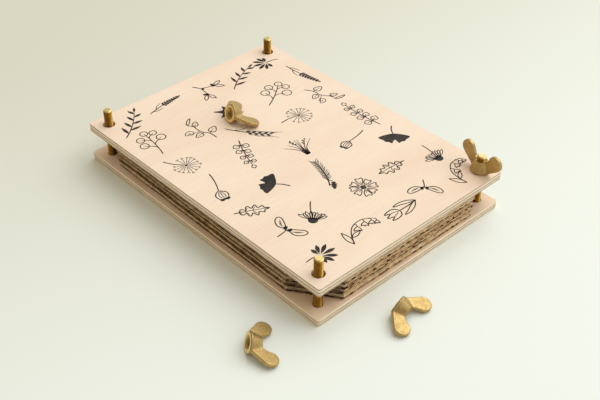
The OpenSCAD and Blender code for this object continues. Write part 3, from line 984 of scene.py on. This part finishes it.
class FLOWERPRESS_OT_cards(bpy.types.Operator):
    """Make the corrugated cards"""
    bl_idname = "flower_press.cards"
    bl_label = "Corrugated cards"

    def execute(self, context):
        settings = context.scene.flower_press.stack
        materials = [kraft_board_corrugated(settings), kraft_medium_flute_shade(settings)]
        for order, node in enumerate(CARDS):
            low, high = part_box(node)
            plan = sheet_plan(node)
            half = plan[2]
            flutes = 2 * half[1] / settings.flute_pitch
            across = np.linspace(-1, 1, int(flutes * ROWS_A_FLUTE) + 1)
            seed = 900 + 13 * order
            vertices, faces, slots = [], [], []
            for layer in range(3):
                x, y, along, aside = sheet_points(
                    plan, across, CARD_SHARES, settings.card_inset, seed + layer,
                    settings.edge_wander)
                # The liners ripple over the flutes, and the card is pressed thinner in places
                # near its border
                turns = aside / settings.flute_pitch
                wave = np.cos(2 * math.pi * turns)
                depth = np.maximum(border_depth(along, aside, half) - settings.card_inset, 0)
                crush = (0.22 * MM * (1 + wander(aside, seed + 31, 19 * MM, 1.0)) / 2
                         * np.exp(-depth / (12 * MM)))
                top = high.z - SHEET_AIR - np.clip(crush, 0, 0.4 * MM) - RIPPLE * (1 + wave)
                bottom = low.z + SHEET_AIR + RIPPLE * (1 - wave)
                # Cutting crushed the ends: the liners spread there and leave only low mouths
                # under the crests of the wave, some of them nearly shut
                reach = np.where(along < 0, np.abs(along[:, :1]), np.abs(along[:, -1:]))
                crushed = np.exp(-np.maximum(reach - np.abs(along), 0) / (1.2 * MM))
                liner = settings.liner + (settings.crushed_liner - settings.liner) * crushed
                if layer == 0:
                    under, over = bottom, bottom + liner
                elif layer == 1:
                    under, over = top - settings.liner, top
                else:
                    inner_low = bottom + liner
                    inner_high = top - settings.liner - settings.wave
                    # The flutes run a little askew, and the cut leaves some more open than others
                    lean = wander(along * 0.6 + aside, seed + 47, 25 * MM, 0.12)
                    lift = (1 - np.cos(2 * math.pi * (turns + lean))) / 2
                    # Along the long sides the cut leaves the wavy layer at half height
                    halfway = 0.5 + wander(along, seed + 83, 70 * MM, 0.3)
                    beside = np.exp(-np.maximum(half[1] - np.abs(aside), 0) / (1.0 * MM))
                    lift = lift + (halfway - lift) * np.minimum(beside * 1.4, 1)
                    under = inner_low + (inner_high - inner_low) * lift
                    over = under + settings.wave
                    open_share = 0.75 + wander(aside, seed + 71, 13 * MM, 0.55)
                    mouth = (np.clip(2.6 * lift - 1.15, 0, 1) ** 0.55 * settings.crushed_flute
                             * np.clip(open_share, 0.05, 1.15))
                    under = under + (inner_low + mouth - under) * crushed
                    over = over + (top - settings.liner - over) * crushed
                more, quads = slab(x, y, under, over, len(vertices))
                vertices += more
                faces += quads
                # A slab's quads come as upper and under face in turn, and then the borders
                flat = 2 * (x.shape[0] - 1) * (x.shape[1] - 1)
                # The liners' faces inside the card take the wavy layer's dark material: painted shade
                # in the flutes
                inner = {0: (1, 0), 1: (0, 1), 2: (1, 1)}[layer]
                slots += [inner[k % 2] for k in range(flat)] + [0] * (len(quads) - flat)
            piece = new_piece(f"corrugated_{node}", vertices, faces, materials, slots)
            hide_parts(node)
            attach(piece, BODY_OF[node])
        return {"FINISHED"}


class Ink:
    """Drawn lines and solid shapes in millimetres, enlarged and gathered as flat faces. The
    lines keep the pen's width at any size."""

    def __init__(self, line, size):
        self.line = line
        self.size = size
        self.vertices = []
        self.faces = []

    def point(self, p):
        """Adds a point and gives its number."""
        self.vertices.append(tuple(Vector(p) * self.size))
        return len(self.vertices) - 1

    def stroke(self, points, start=1.0, end=1.0):
        """A line through the points, whose width goes from start to end times the pen's."""
        path = smooth_path(points)
        n = len(path)
        left, right = [], []
        for k, (x, y) in enumerate(path):
            ax, ay = path[max(k - 1, 0)]
            bx, by = path[min(k + 1, n - 1)]
            dx, dy = bx - ax, by - ay
            size = math.hypot(dx, dy) or 1.0
            t = k / (n - 1)
            half = self.line / self.size * (start + (end - start) * t) / 2
            half *= min(1.0, 0.55 + 6 * min(t, 1 - t))
            left.append(self.point((x - dy / size * half, y + dx / size * half)))
            right.append(self.point((x + dy / size * half, y - dx / size * half)))
        for k in range(n - 1):
            self.faces.append((right[k], right[k + 1], left[k + 1], left[k]))

    def fill(self, points):
        """A solid shape with a smooth outline."""
        path = smooth_path(points + points[:1])[:-1]
        ring = [self.point(p) for p in path]
        for a, b, c in tessellate_polygon([[Vector((*p, 0)) for p in path]]):
            self.faces.append((ring[a], ring[b], ring[c]))

    def outline(self, points, width=1.0):
        """A closed line with a smooth outline."""
        self.stroke(points + points[:2], width, width)


def smooth_path(points, steps=5):
    """A smooth curve through the points."""
    if len(points) < 3:
        (ax, ay), (bx, by) = points
        return [(ax + (bx - ax) * k / steps, ay + (by - ay) * k / steps) for k in range(steps + 1)]
    path = []
    closed = math.dist(points[0], points[-1]) < 1e-6
    n = len(points)
    for k in range(n - 1):
        p1, p2 = points[k], points[k + 1]
        p0 = points[k - 1] if k else (points[-2] if closed else p1)
        p3 = points[k + 2] if k + 2 < n else (points[1] if closed else p2)
        for i in range(steps):
            t = i / steps
            path.append(tuple(
                0.5 * (2 * p1[d] + (p2[d] - p0[d]) * t
                       + (2 * p0[d] - 5 * p1[d] + 4 * p2[d] - p3[d]) * t * t
                       + (3 * p1[d] - p0[d] - 3 * p2[d] + p3[d]) * t ** 3) for d in (0, 1)))
    return path + [points[-1]]


def polar(origin, degrees, reach):
    """Point at a distance and direction from another."""
    a = math.radians(degrees)
    return origin[0] + reach * math.cos(a), origin[1] + reach * math.sin(a)


def moved(origin, *points):
    """Points given from another."""
    return [(origin[0] + x, origin[1] + y) for x, y in points]


def leaf_points(base, degrees, length, width, fullest=0.45):
    """Outline of a pointed leaf."""
    def at(t, side):
        spread = math.sin(math.pi * t ** (math.log(0.5) / math.log(fullest))) * width / 2
        x, y = polar(base, degrees, length * t)
        return polar((x, y), degrees + 90 * side, spread)
    shares = (0.12, 0.3, 0.5, 0.7, 0.88)
    return ([base] + [at(t, 1) for t in shares] + [polar(base, degrees, length)]
            + [at(t, -1) for t in reversed(shares)])


def arched_stem(length, bend, steps=6):
    """Points of a stem that grows up from the origin and bends to one side."""
    return [(bend * (k / steps) ** 2, length * k / steps) for k in range(steps + 1)]


def stem_heading(length, bend, t):
    """Place and direction on such a stem."""
    return (bend * t * t, length * t), math.degrees(math.atan2(length, 2 * bend * t))


def willow_sprig(ink, draw):
    """Narrow solid leaves up both sides of a bent stem."""
    ink.stroke(arched_stem(24, 5), 1.2, 0.7)
    for k in range(7):
        p, way = stem_heading(24, 5, 0.18 + 0.125 * k)
        side = 1 if k % 2 else -1
        ink.fill(leaf_points(p, way + side * (48 + draw.uniform(-6, 6)), 7.2 - 0.4 * k, 1.7))
    p, way = stem_heading(24, 5, 1)
    ink.fill(leaf_points(p, way, 4.5, 1.4))


def round_leaf_branch(ink, draw):
    """Round leaves in pairs, each with its midrib."""
    ink.stroke(arched_stem(25, -3), 1.1, 0.8)
    for k in range(4):
        p, way = stem_heading(25, -3, 0.2 + 0.21 * k)
        for side in (1, -1):
            size = 4.3 - 0.4 * k
            lean = way + side * (62 + draw.uniform(-8, 8))
            base = polar(p, lean, 0.8)
            ink.stroke([p, base])
            ink.outline(leaf_points(base, lean, size, size * 0.92, 0.5), 0.85)
            ink.stroke([base, polar(base, lean, size * 0.6)], 0.7, 0.5)
    p, way = stem_heading(25, -3, 1)
    ink.outline(leaf_points(p, way, 3.2, 2.6, 0.5), 0.85)


def seed_head(ink, draw):
    """A ribbed seed capsule with a flat crown on a long stem."""
    ink.stroke(arched_stem(15, 2.5), 1.1, 0.9)
    head = (2.5, 15)
    ink.outline(moved(head, (0, 0), (-2.9, 2.2), (-3.1, 4.6), (-1.8, 6.6), (1.8, 6.7),
                      (3.1, 4.6), (2.8, 2.2)))
    ink.fill(moved(head, (-2.9, 7.2), (-1.4, 8.2), (0, 7.7), (1.4, 8.3), (2.9, 7.3),
                   (1.6, 6.6), (-1.6, 6.5)))
    for k in (-1, 0, 1):
        ink.stroke(moved(head, (k * 0.5, 0.9), (k * 1.5, 3.6), (k * 0.9, 6.2)), 0.7, 0.6)


def grain_ear(ink, draw):
    """A bearded ear of grain."""
    ink.stroke(arched_stem(27, 4), 1.1, 0.8)
    for k in range(9):
        p, way = stem_heading(27, 4, 0.46 + 0.062 * k)
        side = 1 if k % 2 else -1
        lean = way + side * 24
        base = polar(p, way + side * 90, 0.5)
        ink.fill(leaf_points(base, lean, 3.1, 1.5, 0.5))
        ink.stroke([polar(base, lean, 2.8), polar(base, lean - side * 7, 8.0)], 0.6, 0.35)
    ink.stroke([(0.3, 6), (2.6, 9.5), (6.4, 11.5)], 1.0, 0.4)


def fan_leaf(ink, draw):
    """A solid fan-shaped leaf with a notch."""
    ink.stroke([(0, 0), (0.6, 4), (0.2, 8)], 1.3, 0.9)
    rim = []
    for k in range(13):
        a = 18 + 144 * k / 12
        reach = 8.2 - (2.6 if k == 6 else 0) + (0.5 if k % 2 else 0)
        rim.append(polar((0.2, 7.4), a, reach))
    ink.fill([(0.2, 7.4)] + rim)


def seed_discs(ink, draw):
    """Thin round seed pods on a forking stem."""
    ink.stroke(arched_stem(22, 3), 1.1, 0.8)
    for t, side, reach, size in ((0.35, -1, 5.5, 2.7), (0.52, 1, 5.2, 2.9), (0.7, -1, 4.4, 2.5),
                                 (0.85, 1, 3.8, 2.3), (1.0, 0, 0.2, 2.4)):
        p, way = stem_heading(22, 3, t)
        tip = polar(p, way + side * 52, reach)
        ink.stroke([p, polar(p, way + side * 40, reach * 0.6), tip], 0.9, 0.8)
        heart = polar(tip, way + side * 52, size)
        ink.outline([polar(heart, 45 * k, size) for k in range(8)], 0.9)
        ink.stroke([tip, polar(heart, way + side * 52, size * 0.1)], 0.6, 0.4)


def bell_spray(ink, draw):
    """Little bells that hang from an arching stem."""
    stem = [(0, 0), (-0.6, 7), (0.6, 13), (5.2, 17.8), (11.5, 18.6)]
    ink.stroke(stem, 1.1, 0.7)
    for (x, y), size in (((1.4, 14.4), 1.0), ((5.2, 17.8), 0.95), ((8.8, 18.8), 0.85),
                         ((11.4, 18.6), 0.7)):
        hang = (x + 1.5, y - 1.6)
        ink.stroke([(x, y), (x + 1.1, y - 0.2), hang], 0.8, 0.8)
        ink.outline([(hang[0] + across * size, hang[1] - down * size) for across, down in (
            (0, 0), (-1.4, 1.4), (-1.9, 3.2), (-0.6, 2.6), (0, 3.5), (0.6, 2.6), (1.9, 3.2),
            (1.4, 1.4))], 0.85)
    ink.outline(leaf_points((0.0, 0.5), 124, 9.5, 2.8), 0.9)
    ink.outline(leaf_points((-0.4, 5.0), 48, 6.5, 2.2), 0.9)


def lobed_leaf(ink, draw):
    """A leaf with rounded lobes and its veins."""
    ink.stroke([(0, 0), (0.2, 3.4)], 1.3, 1.0)
    rim = [(0, 3)]
    lobes = ((2.4, 5.0, 1.3, 7.0), (4.3, 8.6, 2.1, 10.2), (4.5, 12.8, 1.9, 13.6),
             (2.9, 16.6, 1.1, 17.2))
    for bx, by, nx, ny in lobes:
        rim += [(bx * 0.8, by - 1.3), (bx, by), (nx, ny)]
    rim.append((0, 20))
    rim += [(-x, y) for x, y in reversed(rim[1:-1])]
    ink.outline(rim)
    ink.stroke([(0, 3), (0.3, 11), (0, 19)], 0.9, 0.5)
    for bx, by, _, _ in lobes[:3]:
        for side in (1, -1):
            ink.stroke([(0.1, by - 2.4), (side * bx * 0.72, by - 0.3)], 0.7, 0.45)


def notched_blossom(ink, draw):
    """A blossom from above with eight notched petals."""
    for k in range(8):
        a = 45 * k + draw.uniform(-4, 4)
        reach = 7.4 + draw.uniform(-0.5, 0.5)
        ink.stroke([polar((0, 0), a + lean, away) for lean, away in (
            (-4, 1.9), (-17, reach * 0.68), (-13, reach), (0, reach * 0.9), (13, reach),
            (17, reach * 0.68), (4, 1.9))], 0.9, 0.9)
        ink.stroke([polar((0, 0), a, 2.6), polar((0, 0), a + 1, reach * 0.62)], 0.6, 0.4)
    ink.fill([polar((0, 0), 45 * k, 1.5 + 0.25 * (k % 2)) for k in range(8)])


def palmate_leaf(ink, draw):
    """Seven solid leaflets spread from the end of a stalk."""
    ink.stroke([(0, 0), (0.8, -4.5), (0.2, -8.5)], 1.2, 0.8)
    for k in range(7):
        a = 90 + 33 * (k - 3) + draw.uniform(-3, 3)
        ink.fill(leaf_points(polar((0, 0), a, 0.7), a, 8.4 - 0.34 * (k - 3) ** 2, 2.2, 0.62))


def seed_clock(ink, draw):
    """A ball of seeds on fine rays."""
    ink.stroke([(0, 0), (0.8, 6), (0.2, 12)], 1.1, 0.9)
    heart = (0.2, 13)
    ink.fill([polar(heart, 60 * k, 0.9) for k in range(6)])
    for k in range(15):
        a = -60 + 300 * k / 14 + draw.uniform(-4, 4)
        reach = 6.6 + draw.uniform(-0.9, 0.5)
        tip = polar(heart, a, reach)
        ink.stroke([polar(heart, a, 1.2), tip], 0.55, 0.5)
        for b in (-42, 0, 42):
            ink.stroke([tip, polar(tip, a + b, 1.5)], 0.5, 0.4)


def flower_spike(ink, draw):
    """A spike set with small solid buds."""
    ink.stroke(arched_stem(25, -3), 1.1, 0.7)
    for k in range(7):
        p, way = stem_heading(25, -3, 0.5 + 0.075 * k)
        for side in (1, -1):
            ink.fill(leaf_points(p, way + side * (52 - 3 * k), 3.0 - 0.16 * k, 1.6, 0.55))
    p, way = stem_heading(25, -3, 1.0)
    ink.fill(leaf_points(p, way, 2.6, 1.3, 0.5))
    for t, side in ((0.12, 1), (0.24, -1)):
        p, way = stem_heading(25, -3, t)
        ink.stroke([p, polar(p, way + side * 34, 3.4), polar(p, way + side * 20, 7.4)], 1.0, 0.5)


def berry_fork(ink, draw):
    """Paired leaves with solid berries in the forks."""
    ink.stroke([(0, 0), (0.3, 6.5)], 1.3, 1.1)
    for side in (1, -1):
        ink.stroke([(0.3, 6.5), (side * 3.0, 10.2), (side * 5.4, 12.6)], 1.0, 0.8)
        tip = (side * 5.4, 12.6)
        for lean in (20, 74):
            ink.outline(leaf_points(tip, 90 - side * lean, 7.6, 2.5, 0.6), 0.9)
        for dx, dy in ((0, 0.1), (side * 1.0, -1.3)):
            centre = (tip[0] + dx, tip[1] + dy)
            ink.fill([polar(centre, 60 * k, 1.1) for k in range(6)])
    ink.fill([polar((0.3, 7.6), 60 * k, 1.2) for k in range(6)])


def grass_tuft(ink, draw):
    """A tuft of curved blades, two of them in seed."""
    for k in range(7):
        bend = -9 + 3 * k + draw.uniform(-0.8, 0.8)
        height = 17 - abs(k - 3) * 1.6 + draw.uniform(-1, 1)
        ink.stroke([(0.35 * (k - 3), 0), (0.3 * bend, height * 0.5), (bend, height)], 1.3, 0.35)
        if k in (2, 5):
            for i in range(5):
                t = 0.72 + 0.07 * i
                at = (bend * t * t, height * t)
                ink.fill(leaf_points(at, 90 - bend * 2 + (28 if i % 2 else -28), 1.9, 1.0, 0.5))


def winged_seeds(ink, draw):
    """A hanging pair of winged seeds."""
    ink.stroke([(0, 9), (0.2, 5), (0, 2)], 1.1, 0.9)
    for side in (1, -1):
        ink.fill([(0, 2.2), (side * 1.6, 2.4), (side * 2.5, 1.0), (side * 1.2, -0.4)])
        ink.outline([(side * 1.8, 1.9), (side * 5.4, 2.6), (side * 8.8, 0.4), (side * 9.8, -2.6),
                     (side * 7.8, -3.4), (side * 4.8, -1.8), (side * 2.2, 0.2)], 0.95)
        for k in range(3):
            ink.stroke([(side * (3.0 + 0.8 * k), 1.4 - 0.5 * k),
                        (side * (6.6 + 0.7 * k), 0.2 - 1.1 * k)], 0.6, 0.4)


def cup_flower(ink, draw):
    """An upright cup-shaped flower between two long leaves."""
    ink.stroke([(0, 0), (0.4, 6), (0, 13)], 1.2, 1.0)
    ink.outline([(0, 13), (-3.0, 14.6), (-3.7, 18), (-2.9, 21.6), (-1.5, 18.8), (0, 22.4),
                 (1.5, 18.8), (2.9, 21.6), (3.7, 18), (3.0, 14.6)])
    ink.stroke([(-1.5, 18.8), (-1.0, 16.2), (0, 14)], 0.8, 0.5)
    ink.stroke([(1.5, 18.8), (1.0, 16.2), (0, 14)], 0.8, 0.5)
    for side in (1, -1):
        ink.outline([(0, 0.6), (side * 3.0, 4.0), (side * 4.6, 9.0), (side * 4.2, 13.4),
                     (side * 2.6, 8.8), (side * 0.9, 4.6)], 0.9)


def ray_flower(ink, draw):
    """A flower from the side with long drooping rays under a dark dome."""
    ink.stroke(arched_stem(14, -2.6), 1.1, 0.9)
    x, y = head = (-2.6, 14)
    ink.fill(moved(head, (-2.6, 0.6), (-2.0, 2.9), (0, 3.8), (2.0, 2.9), (2.6, 0.6), (0, -0.1)))
    for k in range(9):
        lean = -148 + 116 * k / 8 + draw.uniform(-5, 5)
        base = (x - 2.3 + 4.6 * k / 8, y + 0.5)
        ink.outline(leaf_points(base, lean, 6.2 + draw.uniform(-0.6, 0.6), 1.7, 0.6), 0.75)


def tendril(ink, draw):
    """A climbing stem with a curled tendril, heart-shaped leaves and a pod."""
    ink.stroke([(0, 0), (1.6, 6), (0.4, 12), (2.2, 18), (1.4, 22)], 1.1, 0.7)
    coil = [polar((-4.6, 15.6), 30 + 62 * k, 0.55 + 0.32 * k) for k in range(9)]
    ink.stroke([(0.5, 12.5)] + coil[::-1], 0.8, 0.6)
    for base, lean, size in (((1.6, 6), 12, 6.2), ((1.9, 16.8), 34, 4.8), ((0.9, 9.6), 172, 5.4)):
        tip = polar(base, lean, 1.6)
        ink.stroke([base, tip], 0.8, 0.8)
        ink.outline([tip, polar(tip, lean + 70, size * 0.34), polar(tip, lean + 34, size * 0.6),
                     polar(tip, lean, size), polar(tip, lean - 34, size * 0.6),
                     polar(tip, lean - 70, size * 0.34)], 0.9)
        ink.stroke([tip, polar(tip, lean, size * 0.7)], 0.6, 0.4)
    ink.outline([(1.4, 22), (3.2, 24.0), (6.2, 25.2), (8.4, 25.0), (6.0, 23.6), (3.4, 22.2)], 0.9)


def ivy_leaf(ink, draw):
    """A solid leaf with five points."""
    ink.stroke([(0, 0), (0.8, -3.4), (0.2, -6.6)], 1.3, 0.8)
    rim = []
    for a, reach in ((-62, 2.2), (-28, 5.4), (2, 3.4), (36, 7.0), (64, 3.9), (90, 8.6)):
        rim.append(polar((0, 1.4), a, reach))
    rim = rim + [(-x, y) for x, y in reversed(rim[:-1])]
    ink.fill(rim)


def cone_twig(ink, draw):
    """A needled twig with a small cone."""
    ink.stroke(arched_stem(22, 6), 1.2, 0.8)
    for k in range(14):
        p, way = stem_heading(22, 6, 0.22 + 0.055 * k)
        for side in (1, -1):
            ink.stroke([p, polar(p, way + side * (38 + draw.uniform(-5, 5)), 4.2)], 0.85, 0.4)
    for k in range(4):
        y = -0.4 - 1.5 * k
        half = (1.3, 1.9, 1.7, 1.0)[k]
        ink.fill([(-2.2 - half, y + 3.2), (-2.2, y + 2.2), (-2.2 + half, y + 3.2), (-2.2, y + 4.0)])
    ink.stroke([(0.1, 4.6), (-2.0, 4.2)], 0.9, 0.9)


MOTIFS = (willow_sprig, seed_head, palmate_leaf, round_leaf_branch, bell_spray, grain_ear,
          notched_blossom, seed_discs, lobed_leaf, flower_spike, fan_leaf, berry_fork,
          grass_tuft, cup_flower, seed_clock, winged_seeds, tendril, ray_flower, ivy_leaf,
          cone_twig)
ROW_COUNTS = (7, 6, 7, 6, 7)
PLACES_TRIED = 90


class FLOWERPRESS_OT_print(bpy.types.Operator):
    """Print the sprigs and flowers on the top board"""
    bl_idname = "flower_press.print"
    bl_label = "Print"

    def execute(self, context):
        settings = context.scene.flower_press.print
        low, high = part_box("top_board")
        draw = np.random.default_rng(41)
        # Room left at every millimetre of the board: from its border, then from the holes,
        # and later from each motif that is down
        across, along = np.meshgrid(np.arange(low.x / MM, high.x / MM),
                                    np.arange(low.y / MM, high.y / MM), indexing="ij")
        corner = np.array((low.x, low.y)) / MM
        room = (np.minimum(high.x / MM - np.abs(across), high.y / MM - np.abs(along))
                - settings.margin / MM)
        for name in CORNERS:
            x, y = (v / MM for v in bolt_axis(name))
            room = np.minimum(room, np.hypot(across - x, along - y) - settings.hole_room / MM)
        # The motifs stand in loose rows, and each takes the roomiest of many places and turns
        spots = [(low.x / MM + (high.x - low.x) / MM * (column + 0.5) / count,
                  low.y / MM + (high.y - low.y) / MM * (row + 0.5) / len(ROW_COUNTS))
                 for row, count in enumerate(ROW_COUNTS) for column in range(count)]
        vertices, faces = [], []
        for k, spot in enumerate(spots):
            sketch = Ink(settings.line / MM, draw.uniform(1.12, 1.36))
            MOTIFS[(k * 7) % len(MOTIFS)](sketch, draw)
            shape = np.array(sketch.vertices)
            shape -= (shape.min(0) + shape.max(0)) / 2
            best, chosen = -99.0, None
            for _ in range(PLACES_TRIED):
                turn = draw.uniform(0, 2 * math.pi)
                c, s = math.cos(turn), math.sin(turn)
                flip = draw.choice((-1, 1))
                points = (shape @ np.array(((c * flip, s * flip), (-s, c)))
                          + np.array(spot) + draw.uniform(-6, 6, 2))
                cell = np.rint(points - corner).astype(int)
                cell = np.clip(cell, 0, np.array(room.shape) - 1)
                free = min(room[cell[:, 0], cell[:, 1]].min(), settings.spacing / MM)
                if free > best:
                    best, chosen = free, points
            for x, y in chosen[::4]:
                room = np.minimum(room, np.hypot(across - x, along - y))
            start = len(vertices)
            vertices += chosen.tolist()
            faces += [[start + i for i in face] for face in sketch.faces]
        z = high.z + settings.lift
        vertices = [(x * MM, y * MM, z) for x, y in vertices]
        upward = []
        for face in faces:
            a, b, c = (Vector(vertices[i]) for i in face[:3])
            upward.append(face if (b - a).cross(c - a).z > 0 else face[::-1])
        piece = new_piece("botanical_print", vertices, upward, [screen_ink_printed(settings)])
        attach(piece, "pressing_board")
        return {"FINISHED"}


# Camera, in millimetres and degrees: fitted to the corners and bolts of the press
CAMERA_PLACE = (420.96, -388.84, 435.02)
CAMERA_AIM = (-0.5700, 0.5409, -0.6185)
CAMERA_ROLL = 0.47
CAMERA_LENS = 61.07


class FLOWERPRESS_OT_stage(bpy.types.Operator):
    """Make the pale floor, the soft light and the camera"""
    bl_idname = "flower_press.stage"
    bl_label = "Stage"

    def execute(self, context):
        settings = context.scene.flower_press.stage
        scene = context.scene
        self.floor(settings)
        self.lamps(scene)
        self.camera(scene)
        scene.view_settings.view_transform = "Standard"
        return {"FINISHED"}

    def floor(self, settings):
        """A wide matt floor, duller on the far left as in the photograph: that side is painted shade.
        """
        material, tree, shader, place = new_material("paper_backdrop_matt")
        along = add_node(tree, "ShaderNodeVectorMath", {0: place, 1: (0.97, -0.1, 0)},
                         operation="DOT_PRODUCT")
        share = add_node(tree, "ShaderNodeMapRange", {0: along, 1: -0.35, 2: 0.25, 3: 0, 4: 1},
                         interpolation_type="SMOOTHSTEP")
        # Painted shade: the floor's colour dulls towards the far left
        colour = add_node(tree, "ShaderNodeMix", {
            0: share, MIX_A: settings.floor_shade, MIX_B: settings.floor}, **BLEND)
        wire(tree, shader, {"Base Color": colour, "Roughness": 0.9, "Specular IOR Level": 0.1})
        half, count = 4.0, 9
        z = -0.02 * MM
        line = [half * (2 * k / (count - 1) - 1) for k in range(count)]
        vertices = [(x, y, z) for y in line for x in line]
        faces = [(j * count + i, j * count + i + 1, (j + 1) * count + i + 1, (j + 1) * count + i)
                 for j in range(count - 1) for i in range(count - 1)]
        floor = new_piece("floor", vertices, faces, [material])

    def lamps(self, scene):
        """One large soft light, high on the press's far side, and a pale room round it."""
        lamp = bpy.data.lights.new("window", "AREA")
        lamp.shape = "DISK"
        lamp.size = 2.9
        lamp.energy = 36.0
        thing = bpy.data.objects.new("window", lamp)
        scene.collection.objects.link(thing)
        thing.location = (0.15, 1.35, 2.15)
        aim = Vector((0.0, 0.0, 0.02)) - thing.location
        thing.rotation_euler = aim.to_track_quat("-Z", "Y").to_euler()
        world = bpy.data.worlds.new("pale_room")
        scene.world = world
        world.use_nodes = True
        tree = world.node_tree
        background = next(n for n in tree.nodes if n.type == "BACKGROUND")
        # The room is dimmer overhead and behind the camera, and that shapes the reflections
        # in the brass
        place = add_node(tree, "ShaderNodeTexCoord").outputs["Generated"]
        towards = add_node(tree, "ShaderNodeVectorMath", {0: place, 1: (0.4, 0.9, 0.1)},
                           operation="DOT_PRODUCT")
        share = add_node(tree, "ShaderNodeMapRange", {0: towards, 1: -0.4, 2: 0.75, 3: 0, 4: 1},
                         interpolation_type="SMOOTHSTEP")
        sky = add_node(tree, "ShaderNodeMix", {
            0: share, MIX_A: linear("#b6aa97"), MIX_B: linear("#f4f6f6")}, **BLEND)
        wire(tree, background, {"Color": sky, "Strength": 1})

    def camera(self, scene):
        """The camera stands where the photograph was taken from."""
        camera = bpy.data.cameras.new("camera")
        camera.lens = CAMERA_LENS
        camera.sensor_width = 36.0
        thing = bpy.data.objects.new("camera", camera)
        scene.collection.objects.link(thing)
        aim = Vector(CAMERA_AIM).normalized()
        turn = aim.to_track_quat("-Z", "Y").to_matrix()
        turn = Matrix.Rotation(math.radians(CAMERA_ROLL), 3, -aim) @ turn
        thing.matrix_world = Matrix.Translation(Vector(CAMERA_PLACE) * MM) @ turn.to_4x4()
        camera.clip_start = 0.01
        scene.camera = thing


OPERATORS = (
    FLOWERPRESS_OT_boards, FLOWERPRESS_OT_bolts, FLOWERPRESS_OT_wing_nuts,
    FLOWERPRESS_OT_cards, FLOWERPRESS_OT_papers, FLOWERPRESS_OT_print, FLOWERPRESS_OT_stage)


class FLOWERPRESS_PT_sidebar(bpy.types.Panel):
    """The settings and steps of the flower press"""
    bl_idname = "FLOWERPRESS_PT_sidebar"
    bl_label = "Flower Press"
    bl_space_type = "VIEW_3D"
    bl_region_type = "UI"
    bl_category = "Flower Press"

    def draw(self, context):
        settings = context.scene.flower_press
        for name in ("boards", "hardware", "stack", "print", "stage"):
            group = getattr(settings, name)
            box = self.layout.box()
            box.label(text=name.capitalize())
            for setting in group.__annotations__:
                box.prop(group, setting)
        for operator in OPERATORS:
            self.layout.operator(operator.bl_idname)


CLASSES = (BoardSettings, HardwareSettings, StackSettings, PrintSettings, StageSettings,
           PressSettings, *OPERATORS, FLOWERPRESS_PT_sidebar)


def register():
    for kind in CLASSES:
        bpy.utils.register_class(kind)
    bpy.types.Scene.flower_press = bpy.props.PointerProperty(type=PressSettings)


def unregister():
    del bpy.types.Scene.flower_press
    for kind in reversed(CLASSES):
        bpy.utils.unregister_class(kind)


def main():
    """Makes the whole scene."""
    register()
    for operator in OPERATORS:
        group, name = operator.bl_idname.split(".")
        getattr(getattr(bpy.ops, group), name)()


if __name__ == "__main__":
    main()
